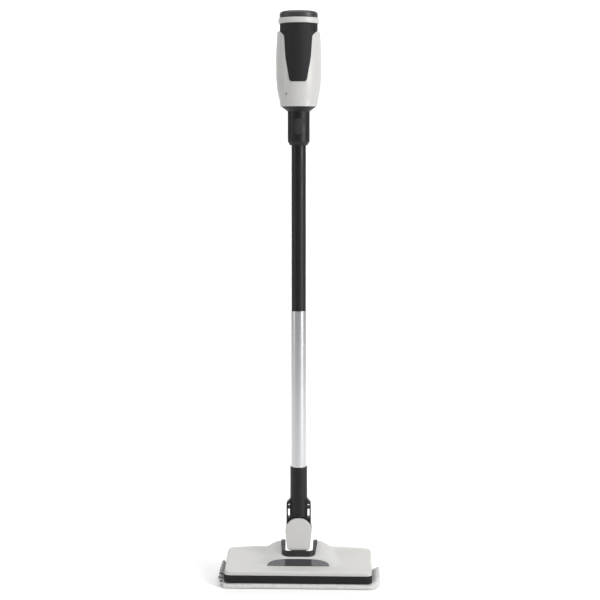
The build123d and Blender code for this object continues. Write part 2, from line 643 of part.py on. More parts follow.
def handle_half(side):
    """One white half of the barrel; side is -1 in front and 1 behind."""
    half = barrel_half(side) - barrel_half(side, -HANDLE_T, HANDLE_Z, BARREL_TOP_Z - HANDLE_T)
    half -= oval_post(COLLAR_R, BARREL_TOP_Z - 10, BARREL_TOP_Z + 1, COLLAR_T)
    half -= block(-99, 99, -SEAT_GAP / 2, SEAT_GAP / 2, HANDLE_Z - 1, BARREL_TOP_Z + 1)
    for x, z in handle_screw_places():
        boss = rod_y(3.6, *sorted((side * SEAT_GAP / 2, side * 60)), x, z)
        half += boss & barrel_half(side, -HANDLE_T / 2)
    for x, z in handle_screw_places():
        if side > 0:
            half -= rod_y(1.7, 0, 60, x, z)
            half -= rod_y(3.2, 14, 60, x, z)
        else:
            half -= rod_y(1.3, -10, 0, x, z)
    return half


def grip_bed(grow):
    """Space that the grip insert takes from the front half."""
    cut = from_front(grip_face(grow), -80, -5)
    return cut - barrel_half(-1, -GRIP_SINK)


def handle_front():
    half = handle_half(-1) - grip_bed(SEAT_GAP)
    return half - rod_y(INDICATOR_R + SEAT_GAP, -60, -20, INDICATOR_X, INDICATOR_Z)


def handle_rear():
    half = handle_half(1)
    jack = from_front(Pos(0, JACK_Z) * RectangleRounded(JACK_W, JACK_H, 2.5), 20, 60)
    return half - jack


def grip_insert():
    skin = barrel_half(-1, GRIP_PROUD) - barrel_half(-1, -GRIP_SINK)
    return skin & from_front(grip_face(0), -80, -5)


def indicator_lens():
    pipe = rod_y(INDICATOR_R, -60, -24, INDICATOR_X, INDICATOR_Z)
    return pipe & barrel_half(-1, 0.2)


def handle_screws():
    return [rod_y(3.0, 14, 16.4, x, z) + rod_y(1.6, 0.1, 14, x, z) + rod_y(1.2, -9, 0.1, x, z)
            for x, z in handle_screw_places()]


def collar():
    hole = oval_post(COLLAR_R, BARREL_TOP_Z - 1, RING_Z + 1, COLLAR_T)
    return oval_post(COLLAR_R, BARREL_TOP_Z, RING_Z) - hole


def top_ring():
    ring = oval_post(RING_R, RING_Z, CAP_Z)
    ring = fillet(ring.edges().filter_by(GeomType.ELLIPSE), 5.0)
    return ring - oval_post(RING_HOLE, RING_Z - 1, CAP_Z + 1)


def cap():
    dome = oval_post(CAP_R, CAP_Z, CAP_TOP_Z)
    dome = fillet(dome.edges().filter_by(GeomType.ELLIPSE).sort_by(Axis.Z)[-1], 9.0)
    dome += oval_post(RING_HOLE, CAP_Z - 9, CAP_Z, SEAT_GAP)
    dome -= oval_post(RING_HOLE, CAP_Z - 10, CAP_TOP_Z - CAP_T, SEAT_GAP + CAP_T + 2.0)
    return dome - post(POWER_R + BUTTON_GAP, CAP_Z, CAP_TOP_Z + 1)


def power_button():
    head = post(POWER_R, CAP_TOP_Z - 4.0, CAP_TOP_Z)
    head = fillet(head.edges().filter_by(GeomType.CIRCLE).sort_by(Axis.Z)[-1], 1.0)
    rim = post(POWER_R + 2.0, CAP_TOP_Z - CAP_T - 1.5, CAP_TOP_Z - CAP_T)
    stem = post(3.0, board_z + 11.0 + POWER_TRAVEL, CAP_TOP_Z - 4.0)
    return head + rim + stem


def power_switch():
    body = block(-5, 5, -5, 5, board_z + 1.6, board_z + 9.0)
    return body + post(2.0, board_z + 9.0, board_z + 11.0)


def power_spring():
    low, high = board_z + 1.6, CAP_TOP_Z - 4.0
    return post(9.4, low, high) - post(8.0, low - 1, high + 1)


def switch_board():
    return oval_post(RING_HOLE, board_z, board_z + 1.6, CAP_T + 1.0)


def handle_neck():
    """Round neck below the barrel, with its flange, the tube's bore and the button's pocket."""
    neck = post(NECK_R, NECK_CHAMFER_Z, FLANGE_Z + 2)
    foot = Pos(0, 0, (NECK_BOTTOM_Z + NECK_CHAMFER_Z) / 2) * Cone(
        upper_r + 3.0, NECK_R, NECK_CHAMFER_Z - NECK_BOTTOM_Z)
    flare_foot = Pos(0, 0, FLANGE_Z) * Circle(NECK_R)
    flare_top = Pos(0, 0, HANDLE_Z) * Ellipse(HANDLE_FOOT - 2.0, (HANDLE_FOOT - 2.0) * HANDLE_DEPTH)
    flare = loft([flare_foot, flare_top], ruled=True)
    plug = oval_post(HANDLE_FOOT, HANDLE_Z, HANDLE_Z + 2.0, HANDLE_T + 2.6)
    tower = post(NECK_R - 3, HANDLE_Z, HANDLE_Z + 8)
    whole = neck + foot + flare + plug + tower
    whole -= post(neck_bore, NECK_BOTTOM_Z - 1, upper_top)
    whole -= post(LEAD_R + 2.0, NECK_BOTTOM_Z, HANDLE_Z + 20)
    pocket = Pos(0, NECK_BUTTON_Z) * RectangleRounded(
        NECK_BUTTON_W + 2 * BUTTON_GAP, NECK_BUTTON_H + 2 * BUTTON_GAP, 5.0 + BUTTON_GAP)
    return whole - from_front(pocket, -40, -neck_bore - 1.2)


def neck_button():
    face = Pos(0, NECK_BUTTON_Z) * RectangleRounded(NECK_BUTTON_W, NECK_BUTTON_H, 5.0)
    inner = -neck_bore - 1.2 - NECK_BUTTON_TRAVEL - 1.0
    key = from_front(face, -NECK_R - 6.0, inner)
    return key & post(NECK_R + 1.2, NECK_BOTTOM_Z, HANDLE_Z)


def neck_spring():
    inner = -neck_bore - 1.2
    outer = inner - NECK_BUTTON_TRAVEL - 1.0
    return rod_y(4.0, outer, inner, 0, NECK_BUTTON_Z) - rod_y(3.0, outer - 1, inner + 1, 0, NECK_BUTTON_Z)


def cell_places():
    reach = 2 / 3 ** 0.5 * (CELL_R + 0.5)
    return [(reach * cos(radians(a)), reach * sin(radians(a))) for a in (90, 210, 330)]


def battery_cell(x, y):
    body = post(CELL_R, CELL_Z, CELL_Z + CELL_H - 1.0, x, y)
    return body + post(3.0, CELL_Z + CELL_H - 1.0, CELL_Z + CELL_H, x, y)


def battery_cradle():
    """Two end plates with pockets for the cells, joined by a spine between them."""
    low = post(CRADLE_R, CELL_Z - 3.0, CELL_Z + 6.0)
    high = post(CRADLE_R, CELL_Z + CELL_H - 6.0, CELL_Z + CELL_H + 3.0)
    cradle = low + high + post(2.0, CELL_Z, CELL_Z + CELL_H)
    for x, y in cell_places():
        cradle -= post(CELL_R + SEAT_GAP, CELL_Z, CELL_Z + CELL_H - 1.0, x, y)
        cradle -= post(3.0 + SEAT_GAP, CELL_Z + CELL_H - 2.0, CELL_Z + CELL_H, x, y)
    legs = [post(3.0, HANDLE_Z + 8, CELL_Z - 3.0, s * 14.0, 0) for s in (-1, 1)]
    return cradle + legs


def control_board():
    z = CELL_Z + CELL_H + 3.0
    board = block(-22, 22, -0.8, 0.8, z, z + 52)
    board += block(-14, -2, 0.8, 3.0, z + 12, z + 24)
    board += block(4, 16, 0.8, 5.0, z + 28, z + 40)
    board += rod_y(4.0, 0.8, 9.0, 10, z + 14)
    return board


def charge_socket():
    face = Pos(0, JACK_Z) * RectangleRounded(JACK_W - 0.4, JACK_H - 0.4, 2.3)
    shell = from_front(face, jack_back, jack_back + 40) & barrel_half(1, -HANDLE_T - SEAT_GAP)
    return shell - rod_y(2.8, jack_back + 2.0, jack_back + 40, 0, JACK_Z)


def charge_flap():
    """Soft cover that lies on the barrel over the charging socket, with a plug that fills its mouth."""
    face = Pos(0, JACK_Z) * RectangleRounded(FLAP_W, FLAP_H, 3.0)
    skin = from_front(face, 20, 60) & (barrel_half(1, FLAP_T + SEAT_GAP) - barrel_half(1, SEAT_GAP))
    mouth = from_front(Pos(0, JACK_Z) * RectangleRounded(JACK_W - 2.4, JACK_H - 2.4, 1.5), 20, 60)
    return skin + (mouth & (barrel_half(1, SEAT_GAP + 0.1) - barrel_half(1, -2.0)))


# ---------------------------------------------------------------- the whole object
def parts():
    """Every sub-part by name."""
    made = {
        "mop_pad": mop_pad(),
        "hook_strips": Compound(children=hook_strips()),
        "pad_plate": pad_plate(),
        "bumper": bumper(),
        "vibration_mounts": Compound(children=vibration_mounts()),
        "vibration_motor": vibration_motor(),
        "motor_strap": motor_strap(),
        "strap_screws": Compound(children=strap_screws()),
        "motor_shaft": motor_shaft(),
        "eccentric_weight": eccentric_weight(),
        "head_shell": head_shell(),
        "lamp_lens": lamp_lens(),
        "lamp_board": lamp_board(),
        "recess_trim": recess_trim(),
        "chassis": chassis(),
        "chassis_screws": Compound(children=chassis_screws()),
        "pitch_pin": pitch_pin(),
        "neck_cover_front": neck_cover(-1),
        "neck_cover_rear": neck_cover(1),
        "neck_link": neck_link(),
        "neck_screws": Compound(children=neck_screws()),
        "roll_pin": roll_pin(),
        "swivel_yoke": swivel_yoke(),
        "lower_tube": lower_tube(),
        "tube_screw": tube_screw(),
        "upper_tube": upper_tube(),
        "lock_plug": lock_plug(),
        "lock_ring": lock_ring(),
        "pole_lead": pole_lead(),
        "handle_front": handle_front(),
        "handle_rear": handle_rear(),
        "grip_insert": grip_insert(),
        "indicator_lens": indicator_lens(),
        "handle_screws": Compound(children=handle_screws()),
        "collar": collar(),
        "top_ring": top_ring(),
        "cap": cap(),
        "power_button": power_button(),
        "power_switch": power_switch(),
        "power_spring": power_spring(),
        "switch_board": switch_board(),
        "handle_neck": handle_neck(),
        "neck_button": neck_button(),
        "neck_spring": neck_spring(),
        "battery_cradle": battery_cradle(),
        "control_board": control_board(),
        "charge_socket": charge_socket(),
        "charge_flap": charge_flap(),
    }
    for number, (x, y) in enumerate(cell_places(), 1):
        made[f"battery_cell_{number}"] = battery_cell(x, y)
    return made


for name, shape in parts().items():
    sub_part(name, shape)
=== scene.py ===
import json
from math import pi, radians

import bmesh
import bpy
import numpy as np
from bpy.props import FloatProperty, FloatVectorProperty, PointerProperty
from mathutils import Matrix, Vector


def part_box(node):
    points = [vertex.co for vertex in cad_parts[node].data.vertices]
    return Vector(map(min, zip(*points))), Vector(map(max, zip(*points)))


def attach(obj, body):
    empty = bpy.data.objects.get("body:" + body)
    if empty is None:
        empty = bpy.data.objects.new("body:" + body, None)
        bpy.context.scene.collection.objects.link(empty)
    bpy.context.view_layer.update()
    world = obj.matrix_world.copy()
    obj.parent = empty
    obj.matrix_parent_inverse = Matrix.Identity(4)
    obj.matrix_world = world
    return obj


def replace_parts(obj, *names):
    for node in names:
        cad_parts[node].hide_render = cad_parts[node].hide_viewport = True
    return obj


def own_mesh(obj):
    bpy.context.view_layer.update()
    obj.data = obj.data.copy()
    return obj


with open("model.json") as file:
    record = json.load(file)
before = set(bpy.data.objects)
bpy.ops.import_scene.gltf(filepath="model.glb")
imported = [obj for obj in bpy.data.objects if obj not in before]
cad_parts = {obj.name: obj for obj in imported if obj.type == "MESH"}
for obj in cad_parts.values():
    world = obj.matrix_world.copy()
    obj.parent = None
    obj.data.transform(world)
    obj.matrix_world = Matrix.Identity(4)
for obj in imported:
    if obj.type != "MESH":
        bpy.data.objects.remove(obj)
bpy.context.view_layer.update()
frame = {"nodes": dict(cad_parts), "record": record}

bl_info = {
    "name": "Floor scrubber",
    "version": (1, 0, 0),
    "blender": (4, 5, 0),
    "location": "3D View > Sidebar > Scrubber",
    "description": "Finishes, housing, pad and studio for a cordless wet dry floor scrubber",
    "category": "Object",
}

MM = 0.001
NODES = frame["nodes"]


# ------------------------------------------------------------------ places taken from the frame
def low(node):
    """Lowest corner of a CAD node, in millimetres."""
    return [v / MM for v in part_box(node)[0]]


def high(node):
    """Highest corner of a CAD node, in millimetres."""
    return [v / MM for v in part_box(node)[1]]


SHELL_LOW, SHELL_HIGH = low("head_shell"), high("head_shell")
SHELL_HALF_L, SHELL_HALF_W = SHELL_HIGH[0], SHELL_HIGH[1]
SHELL_Z, HUMP_TOP = SHELL_LOW[2], SHELL_HIGH[2]
CHASSIS_TOP = low("recess_trim")[2]
RECESS_HALF = high("neck_cover_front")[0] + 2.0
RECESS_FRONT = low("neck_cover_front")[1] - 2.0
TRIM_TOP = high("recess_trim")[2]
PLATE_LOW, PLATE_HIGH = low("bumper"), high("bumper")
PAD_HIGH = high("mop_pad")
GRIP_LOW, GRIP_HIGH = low("grip_insert"), high("grip_insert")
BARREL_LOW, BARREL_HIGH = low("handle_front"), high("handle_front")


# ------------------------------------------------------------------ colours and node helpers
def linear(code):
    """Linear colour from an sRGB hex code."""
    channels = [int(code[i:i + 2], 16) / 255 for i in (1, 3, 5)]
    return tuple(c / 12.92 if c <= 0.04045 else ((c + 0.055) / 1.055) ** 2.4 for c in channels)


def chosen(name):
    """A colour set in the panel."""
    return tuple(getattr(bpy.context.scene.scrubber_colours, name))


def add(tree, kind, settings=None, **inputs):
    """Add a node: settings are its properties, inputs are values or the sockets that feed it.
    An input is named by its label, or as i and its number."""
    made = tree.nodes.new(kind)
    for key, value in (settings or {}).items():
        setattr(made, key, value)
    for key, value in inputs.items():
        numbered = key[0] == "i" and key[1:].isdigit()
        socket = made.inputs[int(key[1:]) if numbered else key.replace("_", " ")]
        if isinstance(value, bpy.types.NodeSocket):
            tree.links.new(value, socket)
        else:
            socket.default_value = value
    return made


def blank(name, colour, rough, metallic=0.0, **more):
    """A new material: its tree, its shader and its object coordinates."""
    made = bpy.data.materials.new(name)
    made.use_nodes = True
    tree = made.node_tree
    tree.nodes.clear()
    shader = add(tree, "ShaderNodeBsdfPrincipled", Roughness=rough, Metallic=metallic,
                 Base_Color=(*colour, 1.0))
    for key, value in more.items():
        shader.inputs[key.replace("_", " ")].default_value = value
    add(tree, "ShaderNodeOutputMaterial", Surface=shader.outputs[0])
    place = add(tree, "ShaderNodeTexCoord").outputs["Object"]
    made.diffuse_color = (*colour, 1.0)
    return made, tree, shader, place


def mottle(tree, shader, place, colour, other, grain_mm, spread=0.5):
    """Drift slowly between two colours over patches of the given size."""
    noise = add(tree, "ShaderNodeTexNoise", Vector=place, Scale=1 / (grain_mm * MM), Detail=3.0)
    ramp = add(tree, "ShaderNodeMapRange", Value=noise.outputs[0], From_Min=0.5 - spread / 2,
               From_Max=0.5 + spread / 2)
    mix = add(tree, "ShaderNodeMix", {"data_type": "RGBA"}, i0=ramp.outputs[0], i6=(*colour, 1.0),
              i7=(*other, 1.0))
    tree.links.new(mix.outputs[2], shader.inputs["Base Color"])


def grain(tree, shader, place, grain_mm, depth_mm, detail=2.0, stretch=None):
    """Fine moulded or sprayed texture of the given grain and depth, as bump."""
    if stretch:
        place = add(tree, "ShaderNodeMapping", Vector=place, Scale=stretch).outputs[0]
    noise = add(tree, "ShaderNodeTexNoise", Vector=place, Scale=1 / (grain_mm * MM), Detail=detail)
    bump = add(tree, "ShaderNodeBump", Height=noise.outputs[0], Distance=depth_mm * MM, Strength=1.0)
    tree.links.new(bump.outputs[0], shader.inputs["Normal"])


def smudge(tree, shader, place, patch_mm, rough_low, rough_high):
    """Let the roughness wander, as handling and moulding leave it."""
    noise = add(tree, "ShaderNodeTexNoise", Vector=place, Scale=1 / (patch_mm * MM), Detail=4.0)
    spread = add(tree, "ShaderNodeMapRange", Value=noise.outputs[0], From_Min=0.35, From_Max=0.65,
                 To_Min=rough_low, To_Max=rough_high)
    tree.links.new(spread.outputs[0], shader.inputs["Roughness"])


# ------------------------------------------------------------------ the finishes
def white_abs():
    """Injection-moulded white ABS: semi-gloss, a faint orange peel, a little warmer in patches."""
    white = chosen("white_housing")
    made, tree, shader, place = blank("white_abs_moulded", white, 0.34, IOR=1.54)
    warm = tuple(c * f for c, f in zip(white, (0.985, 0.98, 0.965)))
    mottle(tree, shader, place, white, warm, 60.0)
    smudge(tree, shader, place, 35.0, 0.30, 0.40)
    grain(tree, shader, place, 2.6, 0.012)
    return made


def black_abs():
    """Spark-eroded black ABS: fine even grain, satin, slightly worn smoother in patches."""
    black = chosen("black_housing")
    made, tree, shader, place = blank("black_abs_satin", black, 0.46, IOR=1.54, Specular_IOR_Level=0.36)
    mottle(tree, shader, place, black, tuple(c * 1.35 for c in black), 40.0)
    smudge(tree, shader, place, 22.0, 0.40, 0.55)
    grain(tree, shader, place, 0.9, 0.02)
    return made


def dark_trim():
    """Charcoal ABS trim: a shade lighter than the black, fine satin grain."""
    made, tree, shader, place = blank("charcoal_abs_trim", linear("#1C1C1E"), 0.46, IOR=1.54,
                                      Specular_IOR_Level=0.4)
    mottle(tree, shader, place, linear("#19191B"), linear("#222224"), 18.0)
    grain(tree, shader, place, 0.9, 0.02)
    return made


def button_abs():
    """Charcoal ABS button: polished smoother than the neck around it."""
    made, tree, shader, place = blank("charcoal_abs_button", linear("#2B2B2D"), 0.33, IOR=1.54)
    smudge(tree, shader, place, 9.0, 0.28, 0.40)
    grain(tree, shader, place, 0.8, 0.01)
    return made


def cap_abs():
    """Dark grey ABS cap: satin gloss that shows fine handling marks."""
    made, tree, shader, place = blank("dark_grey_abs_cap", linear("#323235"), 0.38, IOR=1.54)
    mottle(tree, shader, place, linear("#2E2E31"), linear("#39393C"), 25.0)
    smudge(tree, shader, place, 14.0, 0.30, 0.45)
    grain(tree, shader, place, 0.9, 0.015)
    return made


def rubber_band():
    """Black moulded rubber: matt, with a soft uneven skin."""
    made, tree, shader, place = blank("black_rubber_moulded", linear("#09090A"), 0.62, IOR=1.52,
                                      Specular_IOR_Level=0.35)
    mottle(tree, shader, place, linear("#080809"), linear("#0F0F10"), 16.0)
    grain(tree, shader, place, 1.6, 0.03)
    return made


def dotted_grip():
    """Soft-touch elastomer over-moulded with rows of low dots, a little dusty in the valleys."""
    made, tree, shader, place = blank("soft_grip_dotted", linear("#141416"), 0.58, IOR=1.50,
                                      Specular_IOR_Level=0.4)
    pitch = bpy.context.scene.scrubber_sizes.grip_dot_pitch
    parts = add(tree, "ShaderNodeSeparateXYZ", Vector=place)
    waves = []
    for axis in (0, 2):
        turn = add(tree, "ShaderNodeMath", {"operation": "MULTIPLY"}, i0=parts.outputs[axis],
                   i1=pi / pitch)
        waves.append(add(tree, "ShaderNodeMath", {"operation": "SINE"}, i0=turn.outputs[0]))
    dots = add(tree, "ShaderNodeMath", {"operation": "MULTIPLY"}, i0=waves[0].outputs[0],
               i1=waves[1].outputs[0])
    dots = add(tree, "ShaderNodeMath", {"operation": "ABSOLUTE"}, i0=dots.outputs[0])
    bump = add(tree, "ShaderNodeBump", Height=dots.outputs[0], Distance=0.35 * MM, Strength=0.8)
    tree.links.new(bump.outputs[0], shader.inputs["Normal"])
    mix = add(tree, "ShaderNodeMix", {"data_type": "RGBA"}, i0=dots.outputs[0],
              i6=(*linear("#141416"), 1.0), i7=(*linear("#08080A"), 1.0))
    tree.links.new(mix.outputs[2], shader.inputs["Base Color"])
    return made


def bright_tube():
    """Drawn and bright-anodised aluminium: fine lengthwise draw lines, stretched highlights."""
    made, tree, shader, place = blank("aluminium_bright_drawn", linear("#D3D4D6"), 0.27, 1.0,
                                      Anisotropic=0.45)
    grain(tree, shader, place, 0.7, 0.002, 3.0, (1.0, 1.0, 0.01))
    smudge(tree, shader, place, 60.0, 0.24, 0.28)
    return made


def painted_tube():
    """Black powder-coated steel tube: satin with a fine peel."""
    made, tree, shader, place = blank("black_powder_coat", linear("#0B0B0C"), 0.42, IOR=1.5,
                                      Specular_IOR_Level=0.4)
    mottle(tree, shader, place, linear("#0A0A0B"), linear("#111112"), 50.0)
    smudge(tree, shader, place, 30.0, 0.36, 0.50)
    grain(tree, shader, place, 1.1, 0.015)
    return made


def smoked_window():
    """Smoked acrylic over a lamp board: polished and paler towards its ends; its dark middle is painted
    shade from the neck standing above it.
    """
    made, tree, shader, place = blank("smoked_acrylic", linear("#3A3A3D"), 0.18, IOR=1.49)
    parts = add(tree, "ShaderNodeSeparateXYZ", Vector=place)
    side = add(tree, "ShaderNodeMath", {"operation": "ABSOLUTE"}, i0=parts.outputs[0])
    # painted shade: the middle, as wide as the neck above it, stays dark; the lens pales, speckled,
    # beyond about 26 mm either side
    clear_of_painted_shade = add(tree, "ShaderNodeMapRange", {"interpolation_type": "SMOOTHSTEP"}, Value=side.outputs[0],
               From_Min=26 * MM, From_Max=31 * MM)
    cells = add(tree, "ShaderNodeTexVoronoi", Vector=place, Scale=1 / (2.4 * MM))
    speckle = add(tree, "ShaderNodeMapRange", Value=cells.outputs[0], To_Min=0.75, To_Max=1.0)
    pale_past_painted_shade = add(tree, "ShaderNodeMath", {"operation": "MULTIPLY"}, i0=clear_of_painted_shade.outputs[0],
                 i1=speckle.outputs[0])
    mix = add(tree, "ShaderNodeMix", {"data_type": "RGBA"}, i0=pale_past_painted_shade.outputs[0],
              i6=(*linear("#434346"), 1.0), i7=(*linear("#7A7A7D"), 1.0))
    tree.links.new(mix.outputs[2], shader.inputs["Base Color"])
    return made


def microfibre():
    """Tufted microfibre: pale loops about 2 mm across, brushed unevenly, with a soft sheen and painted
    shade darkening the pile between the loops and in broad patches.
    """
    pale = chosen("pad_pile")
    made, tree, shader, place = blank("microfibre_tufted", pale, 0.92, IOR=1.5, Sheen_Weight=0.35,
                                      Sheen_Roughness=0.6)
    loops = add(tree, "ShaderNodeTexVoronoi", Vector=place, Scale=1 / (2.2 * MM), Randomness=0.9)
    drift = add(tree, "ShaderNodeTexNoise", Vector=place, Scale=1 / (9 * MM), Detail=4.0)
    height = add(tree, "ShaderNodeMath", {"operation": "ADD"}, i0=loops.outputs[0], i1=drift.outputs[0])
    bump = add(tree, "ShaderNodeBump", Height=height.outputs[0], Distance=1.0 * MM, Strength=0.7)
    tree.links.new(bump.outputs[0], shader.inputs["Normal"])
    # painted shade: the pile darkens to 72% of its colour as the loop and drift height rises
    shade = add(tree, "ShaderNodeMapRange", Value=height.outputs[0], From_Min=0.4, From_Max=1.3)
    painted_shade_pile = tuple(c * 0.72 for c in pale)
    mix = add(tree, "ShaderNodeMix", {"data_type": "RGBA"}, i0=shade.outputs[0], i6=(*pale, 1.0),
              i7=(*painted_shade_pile, 1.0))
    tree.links.new(mix.outputs[2], shader.inputs["Base Color"])
    return made


def striped_backing():
    """Woven polyester backing: grey with dark slanting stripes 13 mm apart and a 1 mm thread."""
    made, tree, shader, place = blank("polyester_backing_striped", linear("#9A9A9B"), 0.85)
    parts = add(tree, "ShaderNodeSeparateXYZ", Vector=place)
    slope = add(tree, "ShaderNodeMath", {"operation": "ADD"}, i0=parts.outputs[1], i1=parts.outputs[2])
    turn = add(tree, "ShaderNodeMath", {"operation": "MULTIPLY"}, i0=slope.outputs[0],
               i1=2 * pi / (13 * MM))
    wave = add(tree, "ShaderNodeMath", {"operation": "SINE"}, i0=turn.outputs[0])
    edge = add(tree, "ShaderNodeMapRange", Value=wave.outputs[0], From_Min=0.5, From_Max=0.7)
    mix = add(tree, "ShaderNodeMix", {"data_type": "RGBA"}, i0=edge.outputs[0],
              i6=(*linear("#B4B4B5"), 1.0), i7=(*linear("#2A2A2C"), 1.0))
    tree.links.new(mix.outputs[2], shader.inputs["Base Color"])
    grain(tree, shader, place, 1.0, 0.15)
    return made


def zinc_steel():
    """Zinc-plated steel: dull bright, cloudy plating."""
    made, tree, shader, place = blank("steel_zinc_plated", linear("#B4B6B8"), 0.35, 1.0)
    smudge(tree, shader, place, 2.0, 0.25, 0.5)
    grain(tree, shader, place, 0.4, 0.004)
    return made


def ground_pin():
    """Ground steel pin: bright with fine rings."""
    made, tree, shader, place = blank("steel_ground", linear("#C3C4C6"), 0.22, 1.0)
    grain(tree, shader, place, 0.3, 0.003, 2.0, (1.0, 0.05, 0.05))
    return made


def turned_brass():
    """Turned brass: warm, with fine tool rings."""
    made, tree, shader, place = blank("brass_turned", linear("#C9A24D"), 0.3, 1.0)
    grain(tree, shader, place, 0.4, 0.005)
    smudge(tree, shader, place, 3.0, 0.25, 0.4)
    return made


def circuit_board():
    """Glass-epoxy board: green solder mask, glossy, with fine raised tracks."""
    made, tree, shader, place = blank("fr4_green_mask", linear("#1E5B3A"), 0.3)
    tracks = add(tree, "ShaderNodeTexBrick", Vector=place, Scale=1 / (8 * MM), Mortar_Size=0.03,
                 Color1=(*linear("#1E5B3A"), 1.0), Color2=(*linear("#1B5335"), 1.0),
                 Mortar=(*linear("#2E7A52"), 1.0))
    tree.links.new(tracks.outputs[0], shader.inputs["Base Color"])
    return made


def cell_sleeve():
    """Shrink-wrapped PVC sleeve: blue, glossy, faintly rippled."""
    made, tree, shader, place = blank("pvc_shrink_sleeve", linear("#2C5E93"), 0.25)
    grain(tree, shader, place, 5.0, 0.05)
    return made


def natural_nylon():
    """Unpigmented nylon: milky, slightly translucent."""
    made, tree, shader, place = blank("nylon_natural", linear("#D9D5C8"), 0.42,
                                      Subsurface_Weight=0.1, Subsurface_Scale=0.003)
    grain(tree, shader, place, 1.2, 0.01)
    return made


def hook_tape():
    """Woven hook tape: black, rows of fine hooks."""
    made, tree, shader, place = blank("hook_tape_black", linear("#202022"), 0.8)
    cells = add(tree, "ShaderNodeTexVoronoi", Vector=place, Scale=1 / (1.5 * MM), Randomness=0.2)
    bump = add(tree, "ShaderNodeBump", Height=cells.outputs[0], Distance=0.5 * MM)
    tree.links.new(bump.outputs[0], shader.inputs["Normal"])
    return made


def lead_sheath():
    """Extruded PVC lead sheath: black, satin."""
    made, tree, shader, place = blank("pvc_lead_sheath", linear("#1D1D1F"), 0.45)
    grain(tree, shader, place, 1.5, 0.02)
    return made


def spring_wire():
    """Drawn spring wire: grey, bright along the draw."""
    made, tree, shader, place = blank("spring_wire", linear("#9FA1A4"), 0.3, 1.0)
    smudge(tree, shader, place, 1.5, 0.22, 0.42)
    return made


def frosted_pipe():
    """Frosted light pipe: milky grey acrylic."""
    made, tree, shader, place = blank("acrylic_frosted", linear("#8E8E90"), 0.5, IOR=1.49)
    mottle(tree, shader, place, linear("#868688"), linear("#9A9A9C"), 2.0)
    return made


FINISHES = {
    "pad_fabric": microfibre, "hook_tape": hook_tape, "black_plastic": black_abs,
    "black_rubber": rubber_band, "motor_steel": zinc_steel, "screw_steel": zinc_steel,
    "pin_steel": ground_pin, "weight_brass": turned_brass, "white_plastic": white_abs,
    "smoked_window": smoked_window, "circuit_board": circuit_board, "dark_trim": dark_trim,
    "bright_tube": bright_tube, "black_tube": painted_tube, "natural_plastic": natural_nylon,
    "lead_sheath": lead_sheath, "soft_grip": dotted_grip, "dark_cap": cap_abs,
    "button_plastic": button_abs, "spring_steel": spring_wire, "cell_sleeve": cell_sleeve,
}


def finish_of(slot):
    """The material that stands for a slot of the record."""
    maker = FINISHES[slot]
    name = f"slot_{slot}"
    known = bpy.data.materials.get(name)
    if known:
        return known
    made = maker()
    made.name = name
    return made


# ------------------------------------------------------------------ mesh helpers
def mesh_object(name, points, faces, slot, body):
    """A smooth-shaded object at the origin from points in millimetres, riding on a body."""
    data = bpy.data.meshes.new(name)
    data.from_pydata((np.asarray(points, float) * MM).tolist(), [], faces)
    data.validate()
    data.update()
    data.shade_smooth()
    piece = bpy.data.objects.new(name, data)
    bpy.context.scene.collection.objects.link(piece)
    data.materials.append(finish_of(slot))
    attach(piece, body)
    return piece


def grid_faces(rows, cols, wrap_rows=False, wrap_cols=False):
    """Quads of a grid of rows by cols points, closed round if asked."""
    r = np.arange(rows if wrap_rows else rows - 1)
    c = np.arange(cols if wrap_cols else cols - 1)
    a, b = np.meshgrid(r, c, indexing="ij")
    a2, b2 = (a + 1) % rows, (b + 1) % cols
    quads = np.stack([a * cols + b, a * cols + b2, a2 * cols + b2, a2 * cols + b], -1)
    return quads.reshape(-1, 4)


def closed_sheets(upper, lower):
    """Closed surface from two grids of points over one outline: the upper grid, the lower one
    turned to face down, and a wall between their rims."""
    rows, cols, _ = upper.shape
    count = rows * cols
    quads = grid_faces(rows, cols)
    index = np.arange(count).reshape(rows, cols)
    rim = np.concatenate([index[0, :-1], index[:-1, -1], index[-1, :0:-1], index[:0:-1, 0]])
    walls = np.stack([rim, np.roll(rim, -1), np.roll(rim, -1) + count, rim + count], -1)
    points = np.concatenate([upper.reshape(-1, 3), lower.reshape(-1, 3)])
    return points, quads.tolist() + (quads[:, ::-1] + count).tolist() + walls[:, ::-1].tolist()


def swept(rings):
    """Closed surface over rings of points (sections by points by 3), capped at both ends."""
    sections, around, _ = rings.shape
    quads = grid_faces(sections, around, wrap_cols=True)
    caps = [list(range(around))[::-1], list(range((sections - 1) * around, sections * around))]
    return rings.reshape(-1, 3), quads.tolist() + caps


def outward(piece):
    """Merge doubles and point every face outwards."""
    edit = bmesh.new()
    edit.from_mesh(piece.data)
    bmesh.ops.remove_doubles(edit, verts=edit.verts, dist=1e-6)
    bmesh.ops.recalc_face_normals(edit, faces=edit.faces)
    edit.to_mesh(piece.data)
    edit.free()
    return piece


def crease(piece, degrees):
    """Shade the edges that bend by more than this as sharp ones."""
    piece.data.set_sharp_from_angle(angle=radians(degrees))


def apply_all(piece):
    """Apply every modifier and leave the piece a plain mesh."""
    depsgraph = bpy.context.evaluated_depsgraph_get()
    solid = bpy.data.meshes.new_from_object(piece.evaluated_get(depsgraph))
    piece.modifiers.clear()
    piece.data = solid


